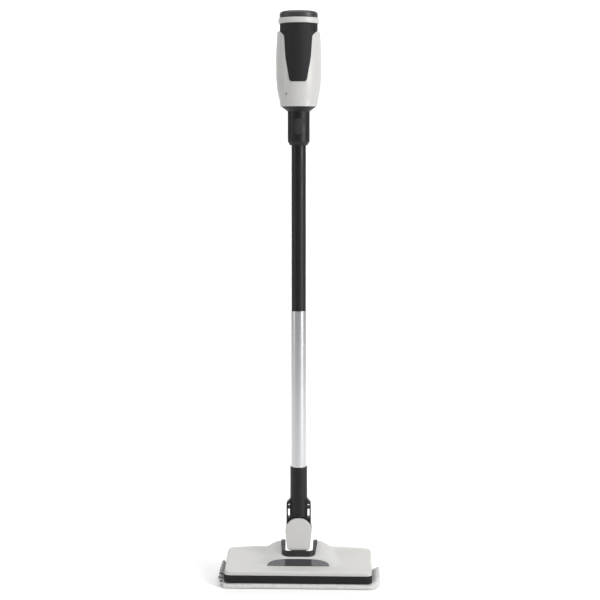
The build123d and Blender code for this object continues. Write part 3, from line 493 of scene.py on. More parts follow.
def tube(path, radius, sides=12):
    """Rings of a round tube along a path: each ring stands across the path and is turned by the
    upright, or by X where the path itself runs nearly upright."""
    ahead = np.gradient(path, axis=0)
    ahead /= np.linalg.norm(ahead, axis=1, keepdims=True)
    up = np.where(np.abs(ahead[:, 2:3]) > 0.9, [[1.0, 0.0, 0.0]], [[0.0, 0.0, 1.0]])
    side = np.cross(ahead, up)
    side /= np.linalg.norm(side, axis=1, keepdims=True)
    top = np.cross(side, ahead)
    turn = np.linspace(0, 2 * pi, sides, endpoint=False)
    return (path[:, None, :] + radius * np.cos(turn)[None, :, None] * side[:, None, :]
            + radius * np.sin(turn)[None, :, None] * top[:, None, :])


def smooth_step(value, start, end):
    """0 before start, 1 after end, and an S-curve between them."""
    t = np.clip((value - start) / (end - start), 0, 1)
    return t * t * (3 - 2 * t)


# ------------------------------------------------------------------ the head's form
HUMP_FOOT_Y, HUMP_FACE_Y, HUMP_BACK_Y = -33.0, -26.5, 42.0
HUMP_FACE_Z = 60.0
HUMP_FOOT_HALF = (98.0, 83.0)        # half width where the shoulders end, in front and behind
HUMP_TOP_HALF = (34.0, 43.0)         # half width where the shoulders begin, in front and behind
LIP_H, END_RISE, CROWN = 7.5, 24.0, 6.0
REAR_DROP, REAR_DROP_FROM, REAR_DROP_TO = 2.0, 40.0, 62.0
CORNER_R, EDGE_R = 12.0, 4.5
SHELL_WALL = 2.4
RECESS_CORNER_R, RECESS_FLARE = 9.0, 0.6
COLLAR_FRONT_Z, COLLAR_ROUND_R, COLLAR_LEAN = 72.5, 1.6, 0.18
COLLAR_WIDTH, COLLAR_WIDER = 6.2, 3.6        # in front, and how much more the arms' rear has
LINER_T = 1.8
WINDOW_HALF, WINDOW_LOW, WINDOW_HIGH = 67.0, 42.0, 56.0
WINDOW_GAP, WINDOW_SINK, WINDOW_T = 0.2, 1.0, 1.6


def between(pair, share):
    """From the first value to the second as the share goes from 0 to 1."""
    return pair[0] + (pair[1] - pair[0]) * share


def head_height(x, y):
    """Top of the head. It climbs evenly to the rear and bows up to the middle; a hump with
    S-curved shoulders stands on it behind a steep front face, and ends before the rear edge."""
    back = (y + SHELL_HALF_W) / (2 * SHELL_HALF_W)
    base = SHELL_Z + LIP_H + back * (END_RISE + CROWN * (1 - (x / SHELL_HALF_L) ** 2))
    base = base - REAR_DROP * smooth_step(y, REAR_DROP_FROM, REAR_DROP_TO)
    rise = HUMP_FACE_Z + (HUMP_TOP - HUMP_FACE_Z) * (y - HUMP_FACE_Y) / (HUMP_BACK_Y - HUMP_FACE_Y)
    ramp = np.clip((y - HUMP_FOOT_Y) / (HUMP_FACE_Y - HUMP_FOOT_Y), 0, 1)
    fall = 1 - smooth_step(y, HUMP_BACK_Y - 3, HUMP_BACK_Y + 12)
    rearwards = smooth_step(y, -30.0, 30.0)
    top_half, foot_half = between(HUMP_TOP_HALF, rearwards), between(HUMP_FOOT_HALF, rearwards)
    shoulder = 1 - smooth_step(np.abs(x), top_half, foot_half)
    return base + np.maximum(rise - base, 0) * ramp * fall * shoulder


def edge_distance(x, y, inset):
    """Distance inwards from a rounded rectangle's edge."""
    r = CORNER_R - inset
    qx = np.abs(x) - (SHELL_HALF_L - inset - r)
    qy = np.abs(y) - (SHELL_HALF_W - inset - r)
    return r - np.hypot(np.maximum(qx, 0), np.maximum(qy, 0)) - np.minimum(np.maximum(qx, qy), 0)


def head_solid(name, inset, cols, rows):
    """Closed form over the head's outline: a grid whose ends round its corners, its top at
    head_height less the inset, rolled over at the edge, and its floor flat."""
    half_l, half_w, corner = SHELL_HALF_L - inset, SHELL_HALF_W - inset, CORNER_R - inset
    across = np.sin(np.linspace(-1, 1, rows) * pi / 2)
    y = half_w * (0.55 * across + 0.45 * np.linspace(-1, 1, rows))
    over = np.maximum(np.abs(y) - (half_w - corner), 0)
    reach = half_l - corner + np.sqrt(np.maximum(corner ** 2 - over ** 2, 0))
    along = np.linspace(-1, 1, cols)
    along = 0.85 * along + 0.15 * np.sin(along * pi / 2)
    x = reach[:, None] * along[None, :]
    y = np.repeat(y[:, None], cols, 1)
    depth = np.clip(edge_distance(x, y, inset), 0, EDGE_R)
    roll = EDGE_R - np.sqrt(EDGE_R ** 2 - (EDGE_R - depth) ** 2)
    top = head_height(x, y) - inset - roll
    below = 2.0 if inset else 0.0        # the room inside is cut through the floor
    floor = np.full_like(top, SHELL_Z - below)
    points, faces = closed_sheets(np.stack([x, y, top], -1), np.stack([x, y, floor], -1))
    return outward(mesh_object(name, points, faces, "white_plastic", "head"))


def recess_path():
    """The recess's inner edge from above, rear left to rear right: straight, round, straight,
    flared at the rear; with each point's outward direction and whether it is on an arm."""
    half, front, back, rear = RECESS_HALF, RECESS_FRONT, HUMP_BACK_Y, SHELL_HALF_W - 0.4
    corner, flared = RECESS_CORNER_R, 8
    flare = half + RECESS_FLARE * (rear - back)
    arc = np.linspace(0, pi / 2, 12)
    right = [
        np.stack([np.linspace(0, half - corner, 8), np.full(8, front)], -1),
        np.stack([half - corner + corner * np.sin(arc), front + corner - corner * np.cos(arc)], -1)[1:],
        np.stack([np.full(14, half), np.linspace(front + corner, back, 15)[1:]], -1),
        np.stack([np.linspace(half, flare, flared), np.linspace(back, rear, flared)], -1),
    ]
    side = np.concatenate(right)
    arm = np.concatenate([np.ones(len(side) - flared), np.zeros(flared)])
    path = np.concatenate([side[::-1] * [-1, 1], side[1:]])
    arm = np.concatenate([arm[::-1], arm[1:]])
    ahead = np.gradient(path, axis=0)
    ahead /= np.maximum(np.linalg.norm(ahead, axis=1, keepdims=True), 1e-9)
    outwards = np.stack([ahead[:, 1], -ahead[:, 0]], -1)
    at_bend = np.abs(path[:, 1] - back) < 1e-6        # where arm and flare meet, straight sideways
    outwards[at_bend] = np.sign(path[at_bend, :1]) * [[1.0, 0.0]]
    return path, outwards, arm


def trim_width(path, arm):
    """Width of the collar: widest on the arms' rear, narrow where only the liner runs on."""
    spread = COLLAR_WIDTH + COLLAR_WIDER * smooth_step(path[:, 1], RECESS_FRONT, HUMP_BACK_Y)
    return np.where(arm > 0.5, spread, LINER_T + 0.1)


def recess_trim():
    """Horseshoe collar with rounded upper edges, standing on a liner that goes down to the
    chassis: one closed section carried along the recess's edge."""
    path, out, arm = recess_path()
    width = trim_width(path, arm)
    climb = smooth_step(path[:, 1], RECESS_FRONT - 2, HUMP_BACK_Y)
    collar_z = between((COLLAR_FRONT_Z, TRIM_TOP), climb)
    skin = head_height(path[:, 0] + out[:, 0] * width, path[:, 1] + out[:, 1] * width)
    top = np.where(arm > 0.5, collar_z, skin - 0.3)
    skirt = np.where(arm > 0.5, skin - 3.0, top - 3.0)
    round_r = np.minimum(COLLAR_ROUND_R, width * 0.45)
    lean = np.where(arm > 0.5, COLLAR_LEAN * np.maximum(top - skin, 0), 0)
    arc = np.linspace(0, pi / 2, 5)
    foot = np.full_like(width, CHASSIS_TOP)
    liner = np.full_like(width, LINER_T)
    offsets = [np.zeros_like(width)] + [round_r * (1 - np.cos(a)) for a in arc]
    offsets += [width - lean - round_r * (1 - np.cos(a)) for a in arc[::-1]] + [width, liner, liner]
    heights = [foot] + [top - round_r * (1 - np.sin(a)) for a in arc]
    heights += [top - round_r * (1 - np.sin(a)) for a in arc[::-1]] + [skirt, skirt, foot]
    reach, z = np.stack(offsets, 1), np.stack(heights, 1)
    rings = np.stack([path[:, :1] + out[:, :1] * reach, path[:, 1:] + out[:, 1:] * reach, z], -1)
    points, faces = swept(rings)
    piece = outward(mesh_object("recess_collar", points, faces, "dark_trim", "head"))
    crease(piece, 40)
    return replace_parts(piece, "recess_trim")


def cutter(name, rings):
    """A closed form that only cuts others: it goes away once they are cut."""
    points, faces = swept(rings)
    return outward(mesh_object(name, points, faces, "white_plastic", "head"))


def recess_cutter():
    """Upright block whose sides lie just under the collar: what the housing leaves open."""
    path, out, arm = recess_path()
    grow = np.where(arm > 0.5, trim_width(path, arm) - 1.2, LINER_T)
    edge = path + out * grow[:, None]
    rear = np.array([[edge[-1, 0], SHELL_HALF_W + 9], [edge[0, 0], SHELL_HALF_W + 9]])
    outline = np.concatenate([edge, rear])
    return cutter("recess_cutter", np.stack([np.column_stack([outline, np.full(len(outline), z)])
                                             for z in (SHELL_Z - 5, HUMP_TOP + 15)]))


def arch(x, half):
    """Height of the window's upper edge as a share: a flat-topped arch with rounded ends."""
    return (1 - np.abs(x / half) ** 3.4) ** 0.5


def window_cutter():
    """Block carried along Y over the window's outline, a little larger than the window: flat
    below and arched above."""
    grow, count = 0.25, 49
    half, low_z, high_z = WINDOW_HALF + grow, WINDOW_LOW - grow, WINDOW_HIGH + grow
    x = np.linspace(-half, half, count)
    upper = np.stack([x, low_z + (high_z - low_z) * arch(x, half)], -1)[1:-1]
    lower = np.stack([x[::-1], np.full(count, low_z)], -1)
    outline = np.concatenate([upper, lower])
    return cutter("window_cutter", np.stack([
        np.column_stack([outline[:, 0], np.full(len(outline), y), outline[:, 1]])
        for y in (HUMP_FOOT_Y - 12, HUMP_FACE_Y + 10)]))


def cut(piece, *tools):
    """Take the tools away from the piece, and remove them."""
    for tool in tools:
        step = piece.modifiers.new(tool.name, "BOOLEAN")
        step.operation, step.solver, step.object = "DIFFERENCE", "EXACT", tool
    apply_all(piece)
    for tool in tools:
        bpy.data.objects.remove(tool)


def head_shell():
    """Smooth housing, hollow, with the neck's recess and the window cut through it."""
    shell = head_solid("head_housing", 0.0, 150, 96)
    cut(shell, head_solid("head_room", SHELL_WALL, 90, 60), recess_cutter(), window_cutter())
    shell.data.shade_smooth()
    crease(shell, 38)
    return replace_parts(shell, "head_shell")


def face_depth(x, z):
    """How far back the hump's front face is at that height, found by halving the gap."""
    near, far = np.full_like(x, HUMP_FOOT_Y - 1), np.full_like(x, HUMP_BACK_Y)
    for _ in range(24):
        middle = (near + far) / 2
        below = head_height(x, middle) < z
        near, far = np.where(below, middle, near), np.where(below, far, middle)
    return far


def window():
    """Smoked window that follows the hump's face: rows across the crescent's height, sunk a
    little, with a second skin behind it."""
    cols, rows = 97, 9
    half, foot = WINDOW_HALF - WINDOW_GAP, WINDOW_LOW + WINDOW_GAP
    x = np.linspace(-half, half, cols)
    high_z = foot + (WINDOW_HIGH - WINDOW_LOW - 0.5) * arch(x, WINDOW_HALF)
    share = np.linspace(0, 1, rows)[:, None]
    z = foot + (high_z[None, :] - foot) * share
    x = np.repeat(x[None, :], rows, 0)
    front = np.stack([x, face_depth(x, z) + WINDOW_SINK, z], -1)
    back = front + [0, WINDOW_T, 0]
    rings = np.concatenate([front.transpose(1, 0, 2), back.transpose(1, 0, 2)[:, ::-1]], 1)
    points, faces = swept(rings)
    piece = outward(mesh_object("lamp_window", points, faces, "smoked_window", "head"))
    crease(piece, 50)
    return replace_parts(piece, "lamp_lens")


# ------------------------------------------------------------------ the pad
PAD_CORNER_R, PAD_MIDDLE_Z = 15.0, 5.1
HEM_W, HEM_HALF_T, PAD_SWELL, FLAP_THINNER = 7.0, 2.2, 2.5, 1.6
FLAP_SHORT, FLAP_BEND_R = 9.0, 6.0
FLAP_FROM = (PLATE_HIGH[0] - 3.5, PLATE_HIGH[0] - 0.5)  # where the ends turn up, left and right
FLAP_STEEP = (radians(68), radians(38))                 # how far they turn, left and right
RIGHT_FLAP = 0.72                                       # its length as a share of the left one's
BACKING_FROM = PLATE_HIGH[0] + 3.5                      # where the left flap's backing begins
PILE_ROUGH, PLATE_GAP = 0.28, 1.1


def flap_length(y, longest):
    """How far an end of the pad runs on past the plate: short at the corners."""
    rear_cut = 1 - 0.45 * smooth_step(y, 44, 66)
    return FLAP_SHORT + (longest - FLAP_SHORT) * smooth_step(y, -64, -26) * rear_cut


def pad_form():
    """Closed pillow: rounded outline, thickness falling off at the hem, and ends that turn up
    along an arc and then run straight, steeper to the rear than at the front corners."""
    half_w, corner = PAD_HIGH[1] - 1.0, PAD_CORNER_R
    rows, cols = 66, 170
    across = np.linspace(-1, 1, rows)
    y = half_w * (0.5 * across + 0.5 * np.sin(across * pi / 2))
    over = np.maximum(np.abs(y) - (half_w - corner), 0)
    cut_in = corner - np.sqrt(np.maximum(corner ** 2 - over ** 2, 0))
    curl = bpy.context.scene.scrubber_sizes.pad_curl / MM
    left_reach = FLAP_FROM[0] + flap_length(y, curl) - cut_in
    right_reach = FLAP_FROM[1] + flap_length(y, curl * RIGHT_FLAP) - cut_in
    u = np.linspace(-1, 1, cols)[None, :]
    left = u < 0
    reach = np.where(left, left_reach[:, None], right_reach[:, None])
    x = reach * u
    y = np.repeat(y[:, None], cols, 1)
    inward = np.minimum(reach - np.abs(x), half_w - np.abs(y))
    share = np.clip(inward / HEM_W, 0, 1)
    half_t = HEM_HALF_T + PAD_SWELL * np.sqrt(share * (2 - share))
    ripple = 0.5 * np.sin(x / 9.0 + 1.7 * np.sin(y / 21.0)) * (1 - share)
    steep = radians(8) + np.where(left, *FLAP_STEEP) * smooth_step(y, -66, -28)
    begin = np.where(left, *FLAP_FROM)
    past = np.maximum(np.abs(x) - begin, 0)
    half_t = half_t - FLAP_THINNER * smooth_step(past, 0, 8)
    angle = np.minimum(past / FLAP_BEND_R, steep)
    straight = past - FLAP_BEND_R * angle
    out = np.minimum(np.abs(x), begin) + FLAP_BEND_R * np.sin(angle) + straight * np.cos(angle)
    rise = PAD_MIDDLE_Z + FLAP_BEND_R * (1 - np.cos(angle)) + straight * np.sin(angle)
    sheets = []
    for skin in (half_t + ripple, -half_t + 0.4 * ripple):
        side = np.sign(u) * (out - skin * np.sin(angle))
        sheets.append(np.stack([side, y, rise + skin * np.cos(angle)], -1))
    return closed_sheets(*sheets)


def coordinates(data):
    """The mesh's points as rows of x, y and z."""
    flat = np.empty(len(data.vertices) * 3)
    data.vertices.foreach_get("co", flat)
    return flat.reshape(-1, 3)


def puff(piece):
    """Let the cloth swell under light pressure, by no more than a set limit."""
    remesh = piece.modifiers.new("even", "REMESH")
    remesh.mode, remesh.voxel_size = "VOXEL", 3.4 * MM
    apply_all(piece)
    start = coordinates(piece.data)
    cloth = piece.modifiers.new("cloth", "CLOTH")
    cloth.settings.quality = 4
    cloth.settings.use_pressure = True
    cloth.settings.uniform_pressure_force = 4.0
    cloth.settings.effector_weights.gravity = 0.0
    cloth.settings.mass = 0.2
    scene = bpy.context.scene
    for number in range(1, 13):
        scene.frame_set(number)
    apply_all(piece)
    scene.frame_set(1)
    step = coordinates(piece.data) - start
    far = np.linalg.norm(step, axis=1, keepdims=True)
    limit = 1.6 * MM
    step = step * np.minimum(1, limit / np.maximum(far, 1e-9))
    piece.data.vertices.foreach_set("co", (start + step).ravel())


def settle(piece):
    """Rough the pile with three crossed waves, raise tufts along its rim, and keep the pad above
    the floor and under the plate."""
    p = coordinates(piece.data) / MM
    wander = (np.sin(p[:, 0] * 1.9 + 2.1 * np.sin(p[:, 1] * 0.7)) + np.sin(p[:, 1] * 2.3 + p[:, 0] * 0.31)
              + np.sin(p[:, 0] * 0.83 - p[:, 1] * 1.3))
    p[:, 2] += PILE_ROUGH * wander
    rim = smooth_step(np.abs(p[:, 1]), PLATE_HIGH[1] + 0.8, PLATE_HIGH[1] + 2.5)
    tufts = np.sin(p[:, 0] * 0.61 + 1.3 * np.sin(p[:, 0] * 0.173)) * np.sin(p[:, 0] * 0.29 + 0.9)
    p[:, 2] += rim * smooth_step(p[:, 2], 5.0, 9.0) * (1.5 + 1.6 * np.maximum(tufts, 0) + 0.5 * wander)
    under_plate = (np.abs(p[:, 0]) < PLATE_HIGH[0] + 1.0) & (np.abs(p[:, 1]) < PLATE_HIGH[1] + 0.6)
    p[:, 2] = np.where(under_plate, np.minimum(p[:, 2], PLATE_LOW[2] - PLATE_GAP), p[:, 2])
    p[:, 2] = np.maximum(p[:, 2], 0.0)
    piece.data.vertices.foreach_set("co", (p * MM).ravel())
    piece.data.update()


def mop_pad():
    """The pad: swollen, settled under the plate, with its backing showing on the left flap."""
    pad = outward(mesh_object("microfibre_pad", *pad_form(), "pad_fabric", "sole"))
    puff(pad)
    settle(pad)
    pad.data.materials.append(striped_backing())
    for face in pad.data.polygons:
        face.material_index = int(face.center.x / MM < -BACKING_FROM)
    finer = pad.modifiers.new("soften", "SUBSURF")
    finer.levels = finer.render_levels = 1
    pad.data.shade_smooth()
    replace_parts(pad, "mop_pad")
    return pad


# ------------------------------------------------------------------ wound pieces
LEAD_TURNS, LEAD_R = 110, 1.7


def helix(name, slot, body, node, axis, turns, wire, steps=20):
    """Wire wound round an axis at a steady pitch between a CAD node's ends."""
    lo, hi = np.array(low(node)), np.array(high(node))
    centre = (lo + hi) / 2
    radius = (hi[0] - lo[0]) / 2 - wire
    t = np.linspace(0, 1, int(turns * steps) + 1)
    angle = 2 * pi * turns * t
    across, upwards = [i for i in range(3) if i != axis]
    path = np.empty((len(t), 3))
    path[:, across] = centre[across] + radius * np.cos(angle)
    path[:, upwards] = centre[upwards] + radius * np.sin(angle)
    path[:, axis] = lo[axis] + wire + (hi[axis] - lo[axis] - 2 * wire) * t
    points, faces = swept(tube(path, wire, 8))
    return outward(mesh_object(name, points, faces, slot, body))


def shorten(piece):
    """Give a wound piece a mesh of its own."""
    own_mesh(piece)


# ------------------------------------------------------------------ the handle's edges
# heights are above the barrel's foot or the grip's, and halves are half widths
BARREL_BELLY_H, BARREL_FALL_H, BARREL_FOOT_H = 75.0, 87.0, 12.0
BARREL_FOOT_HALF, BARREL_TOP_HALF = 40.2, 44.6
GRIP_CORNER_R, GRIP_BEND_H, BEAD_R = 6.5, 53.0, 1.0
GRIP_HALVES = [17.8, 26.3, 29.4, 37.0]       # at its foot, its bend, and its wings' foot and top
RING_R, RING_FOOT, RING_ROUND_R, RING_CORE = 42.8, 2.2, 2.4, 35.2
BUTTON_HOLE_R = 13.3
GRIP_COLLAR_WALL, GRIP_COLLAR_RAISED, GRIP_COLLAR_HALF = 9.0, 3.2, 27.0


def barrel_depth(x, z):
    """How far forward the barrel's white skin stands: each half turns about its own axis, and its
    half width swells from the foot to the belly and narrows above it."""
    wide, ratio = BARREL_HIGH[0], -BARREL_LOW[1] / BARREL_HIGH[0]
    across = wide * (1 - ratio ** 2) / (2 * ratio)
    h = z - BARREL_LOW[2]
    climb = np.clip((h - BARREL_FOOT_H) / (BARREL_BELLY_H - BARREL_FOOT_H), 0, 1)
    fall = np.clip((h - BARREL_BELLY_H) / BARREL_FALL_H, 0, 1)
    below = BARREL_FOOT_HALF + (wide - BARREL_FOOT_HALF) * np.sin(climb * pi / 2) ** 0.86
    above = wide - (wide - BARREL_TOP_HALF) * fall ** 2.1
    r = np.hypot(np.where(h < BARREL_BELLY_H, below, above), across)
    return np.sqrt(np.maximum(r ** 2 - x ** 2, 0)) - across


def grip_bead():
    """Narrow white edge round the grip: a round bead, half sunk in the skin, carried along the
    grip's outline."""
    z_top, z_low = GRIP_HIGH[2] - 3.0, GRIP_LOW[2]
    turn_z = z_low + 6.0
    corner = GRIP_CORNER_R
    z = z_top + (turn_z - z_top) * np.linspace(0, 1, 60)
    bends = [z_low, z_low + GRIP_BEND_H, BARREL_HIGH[2] - 9.5, BARREL_HIGH[2] - 2.0]
    half = np.interp(z, bends, GRIP_HALVES)
    arc = np.linspace(0, pi / 2, 10)[1:]
    inner = half[-1] - corner
    side = np.stack([half, z], -1)
    bend = np.stack([inner + corner * np.cos(arc), turn_z - corner * np.sin(arc)], -1)
    flat = np.stack([np.linspace(inner, 0, 8)[1:], np.full(7, z_low - 0.5)], -1)
    right = np.concatenate([side, bend, flat])
    line = np.concatenate([right, right[-2::-1] * [-1, 1]])
    path = np.column_stack([line[:, 0], -barrel_depth(line[:, 0], line[:, 1]) + 0.2, line[:, 1]])
    points, faces = swept(tube(path, BEAD_R, 10))
    return outward(mesh_object("grip_bead", points, faces, "white_plastic", "upper_pole"))


def oval_ring(name, reach, height, squeeze, slot, body, around=96):
    """Closed solid round Z: a closed profile of reach and height turned through a circle, its
    depth squeezed by a share that may change with the reach or the direction."""
    turn = np.linspace(0, 2 * pi, around, endpoint=False)[:, None]
    rings = np.stack([reach * np.cos(turn), reach * squeeze * np.sin(turn),
                      np.broadcast_to(height, (around, len(height)))], -1)
    quads = grid_faces(around, len(height), True, True)
    return outward(mesh_object(name, rings.reshape(-1, 3), quads.tolist(), slot, body))


def cap():
    """Domed cap: an upright skirt, a dome down to the button's round hole, and a plug below."""
    wide, deep, top = high("cap")
    rim = high("top_ring")[2]
    hole, shoulder = BUTTON_HOLE_R, rim + 7.5
    arc = np.linspace(0, pi / 2, 14)
    dome_r = hole + (wide - hole) * np.cos(arc) ** 0.42
    dome_z = shoulder + (top - 0.2 - shoulder) * np.sin(arc) ** 0.9
    plug, inner = wide - 5.1, wide - 10
    reach = np.concatenate([[plug, plug, wide - 0.4, wide], dome_r, [hole, inner, inner]])
    height = np.concatenate([[rim - 8.6, rim, rim, rim + 0.5], dome_z, [top - 2.6, top - 4.5, rim - 8.6]])
    squeeze = 1 - (1 - deep / wide) * smooth_step(reach, hole, inner)
    piece = oval_ring("domed_cap", reach[None, :], height, squeeze[None, :], "dark_cap", "upper_pole")
    crease(piece, 45)
    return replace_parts(piece, "cap")


def ring():
    """White ring between cap and collar: an upright band with rounded edges."""
    foot, top = low("top_ring")[2] + RING_FOOT, high("top_ring")[2]
    edge, round_r = RING_R - RING_ROUND_R, RING_ROUND_R
    arc = np.linspace(0, pi / 2, 6)
    reach = np.concatenate([[RING_CORE], edge + round_r * np.sin(arc), edge + round_r * np.cos(arc),
                            [RING_CORE]])
    height = np.concatenate([[foot], foot + round_r * (1 - np.cos(arc)),
                             top - round_r * (1 - np.sin(arc)), [top]])
    squeeze = np.full((1, len(reach)), 0.88)
    piece = oval_ring("white_ring", reach[None, :], height, squeeze, "white_plastic", "upper_pole")
    crease(piece, 50)
    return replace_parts(piece, "top_ring")


def collar():
    """Collar with a raised middle in front whose shoulders are bevelled: it leans out to meet
    the grip below and stays under the ring above."""
    foot, (wide, deep, top) = low("collar")[2], high("collar")
    top = top + RING_FOOT
    around, rows = 144, 12
    z = np.linspace(foot, top, rows)
    turn = np.linspace(0, 2 * pi, around, endpoint=False)[:, None]
    share = (top - z) / (top - foot)
    across = np.abs(wide * np.cos(turn))
    shoulder = GRIP_COLLAR_HALF - 3.0 * smooth_step(z, top - 5, top)
    raised = GRIP_COLLAR_RAISED + 1.2 * smooth_step(share, 0.25, 1.0)
    raised = raised * (1 - smooth_step(across, shoulder, shoulder + 4.5))
    raised = raised * (np.sin(turn) < 0) * smooth_step(top - z, -0.8, 1.8)
    level = np.ones_like(z)
    outer = np.stack([wide * np.cos(turn) * level, deep * np.sin(turn) - raised,
                      np.broadcast_to(z, (around, rows))], -1)
    inner = np.stack([(wide - GRIP_COLLAR_WALL) * np.cos(turn) * level,
                      (deep - GRIP_COLLAR_WALL) * np.sin(turn) * level,
                      np.broadcast_to(z, (around, rows))], -1)[:, ::-1]
    rings = np.concatenate([outer, inner], 1)
    quads = grid_faces(around, 2 * rows, True, True).tolist()
    piece = outward(mesh_object("grip_collar", rings.reshape(-1, 3), quads, "soft_grip", "upper_pole"))
    crease(piece, 50)
    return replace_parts(piece, "collar")


# ------------------------------------------------------------------ stage
CAMERA_LENS, CAMERA_HEIGHT = 85.7, 0.916
CAMERA_SIDE, CAMERA_DOWN, CAMERA_YAW = radians(2.0), radians(5.78), 0.0009
WORLD_COLOUR, WORLD_STRENGTH = (0.94, 0.95, 0.96, 1), 0.32


def sweep_floor():
    """Pale floor that curves up into a backdrop: one profile, in metres, carried across."""
    t = np.linspace(0, pi / 2, 24)
    y = np.concatenate([[-6.0], 3.0 + 1.5 * np.sin(t), [4.5]])
    z = np.concatenate([[0.0], 1.5 - 1.5 * np.cos(t), [6.0]])
    x = np.linspace(-7, 7, 9)
    points = np.stack(np.broadcast_arrays(x[None, :], y[:, None], z[:, None]), -1)
    data = bpy.data.meshes.new("studio_sweep")
    data.from_pydata(points.reshape(-1, 3).tolist(), [], grid_faces(len(y), 9)[:, ::-1].tolist())
    data.shade_smooth()
    floor = bpy.data.objects.new("studio_sweep", data)
    bpy.context.scene.collection.objects.link(floor)
    made, tree, shader, place = blank("pale_floor", linear("#FBFBFA"), 0.85)
    mottle(tree, shader, place, linear("#FCFCFB"), linear("#F9F9F8"), 900.0)
    data.materials.append(made)


def area_light(name, place, target, size, power):
    """A rectangular lamp at a place, in metres, turned to face its target."""
    data = bpy.data.lights.new(name, "AREA")
    data.shape, data.size, data.size_y, data.energy = "RECTANGLE", size[0], size[1], power
    lamp = bpy.data.objects.new(name, data)
    lamp.location = place
    lamp.rotation_euler = (Vector(target) - Vector(place)).to_track_quat("-Z", "Y").to_euler()
    bpy.context.scene.collection.objects.link(lamp)


def studio():
    """The floor, four lamps, a pale world and the camera."""
    scene = bpy.context.scene
    sweep_floor()
    area_light("key", (2.4, -1.6, 1.5), (0, 0, 0.7), (0.9, 2.4), 60)
    area_light("fill", (-2.6, -0.9, 1.3), (0, 0, 0.6), (0.6, 2.2), 12)
    area_light("top", (0.0, -0.2, 3.4), (0, 0.2, 0), (3.0, 2.4), 56)
    area_light("back_wash", (0.0, 1.2, 3.2), (0, 4.2, 1.6), (5.0, 1.5), 110)
    world = scene.world or bpy.data.worlds.new("studio")
    scene.world = world
    world.use_nodes = True
    background = world.node_tree.nodes["Background"]
    background.inputs[0].default_value = WORLD_COLOUR
    background.inputs[1].default_value = WORLD_STRENGTH
    scene.view_settings.view_transform = "Standard"
    data = bpy.data.cameras.new("camera")
    data.lens = CAMERA_LENS
    camera = bpy.data.objects.new("camera", data)
    away = scene.scrubber_sizes.camera_distance
    camera.location = (away * np.sin(CAMERA_SIDE), -away * np.cos(CAMERA_SIDE), CAMERA_HEIGHT)
    camera.rotation_euler = (pi / 2 - CAMERA_DOWN, 0, CAMERA_SIDE - CAMERA_YAW)
    scene.collection.objects.link(camera)
    scene.camera = camera


# ------------------------------------------------------------------ settings
class ScrubberSizes(bpy.types.PropertyGroup):
    """Sizes a maker would change."""

    pad_curl: FloatProperty(name="Pad curl", description="How far the pad's ends turn up",
                            default=33 * MM, unit="LENGTH")
    grip_dot_pitch: FloatProperty(name="Grip dot pitch", description="From one grip dot to the next",
                                  default=2.4 * MM, unit="LENGTH")
    camera_distance: FloatProperty(name="Camera distance", description="From the pole to the camera",
                                   default=3.015, unit="LENGTH")


class ScrubberColours(bpy.types.PropertyGroup):
    """Colours a maker would change."""

    white_housing: FloatVectorProperty(name="White housing", description="Moulded white plastic",
                                       default=linear("#C8C7C5"), subtype="COLOR")
    black_housing: FloatVectorProperty(name="Black housing", description="Moulded black plastic",
                                       default=linear("#08080A"), subtype="COLOR")
    pad_pile: FloatVectorProperty(name="Pad pile", description="Microfibre of the pad",
                                  default=linear("#E8E8E6"), subtype="COLOR")


# ------------------------------------------------------------------ operators
class SCRUBBER_OT_finishes(bpy.types.Operator):
    """Give every CAD node its own finish."""

    bl_idname = "scrubber.finishes"
    bl_label = "Finishes"

    def execute(self, context):
        slots = {s["node"]: s["material_slot"] for s in frame["record"]["subparts"]}
        for name, node in NODES.items():
            node.data.materials.clear()
            node.data.materials.append(finish_of(slots[name]))
        NODES["indicator_lens"].data.materials[0] = frosted_pipe()
        return {"FINISHED"}


class SCRUBBER_OT_head(bpy.types.Operator):
    """Build the head's housing, collar and window."""

    bl_idname = "scrubber.head"
    bl_label = "Head"

    def execute(self, context):
        head_shell()
        recess_trim()
        window()
        return {"FINISHED"}


class SCRUBBER_OT_pad(bpy.types.Operator):
    """Build the microfibre pad."""

    bl_idname = "scrubber.pad"
    bl_label = "Pad"

    def execute(self, context):
        mop_pad()
        return {"FINISHED"}


class SCRUBBER_OT_handle(bpy.types.Operator):
    """Build the domed cap, the ring, the collar and the bead round the grip."""

    bl_idname = "scrubber.handle"
    bl_label = "Handle"

    def execute(self, context):
        cap()
        ring()
        collar()
        grip_bead()
        return {"FINISHED"}


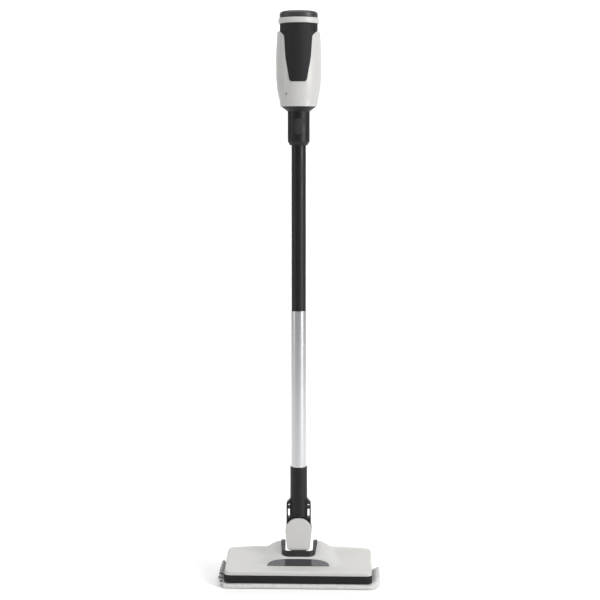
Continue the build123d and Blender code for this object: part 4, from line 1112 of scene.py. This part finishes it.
class SCRUBBER_OT_wound(bpy.types.Operator):
    """Wind the springs and the lead."""

    bl_idname = "scrubber.wound"
    bl_label = "Springs and lead"

    def execute(self, context):
        lead = helix("coiled_lead", "lead_sheath", "lower_pole", "pole_lead", 2, LEAD_TURNS, LEAD_R, 12)
        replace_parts(lead, "pole_lead")
        shorten(lead)
        spring = helix("power_button_spring", "spring_steel", "upper_pole", "power_spring", 2, 7, 0.5)
        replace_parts(spring, "power_spring")
        shorten(spring)
        spring = helix("neck_button_spring", "spring_steel", "upper_pole", "neck_spring", 1, 3, 0.35)
        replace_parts(spring, "neck_spring")
        shorten(spring)
        return {"FINISHED"}


class SCRUBBER_OT_stage(bpy.types.Operator):
    """Set up the floor, the lights and the camera."""

    bl_idname = "scrubber.stage"
    bl_label = "Stage"

    def execute(self, context):
        studio()
        return {"FINISHED"}


OPERATORS = (SCRUBBER_OT_finishes, SCRUBBER_OT_head, SCRUBBER_OT_pad, SCRUBBER_OT_handle,
             SCRUBBER_OT_wound, SCRUBBER_OT_stage)


class SCRUBBER_PT_panel(bpy.types.Panel):
    """Sizes, colours and the steps that make the scrubber."""

    bl_idname = "SCRUBBER_PT_panel"
    bl_label = "Floor scrubber"
    bl_space_type = "VIEW_3D"
    bl_region_type = "UI"
    bl_category = "Scrubber"

    def draw(self, context):
        for group in (context.scene.scrubber_sizes, context.scene.scrubber_colours):
            for key in group.bl_rna.properties.keys():
                if key not in ("rna_type", "name"):
                    self.layout.prop(group, key)
        for operator in OPERATORS:
            self.layout.operator(operator.bl_idname)


CLASSES = (ScrubberSizes, ScrubberColours, *OPERATORS, SCRUBBER_PT_panel)


def register():
    for item in CLASSES:
        bpy.utils.register_class(item)
    bpy.types.Scene.scrubber_sizes = PointerProperty(type=ScrubberSizes)
    bpy.types.Scene.scrubber_colours = PointerProperty(type=ScrubberColours)


def unregister():
    del bpy.types.Scene.scrubber_colours
    del bpy.types.Scene.scrubber_sizes
    for item in reversed(CLASSES):
        bpy.utils.unregister_class(item)


def main():
    register()
    for operator in OPERATORS:
        group, name = operator.bl_idname.split(".")
        getattr(getattr(bpy.ops, group), name)()


if __name__ == "__main__":
    main()
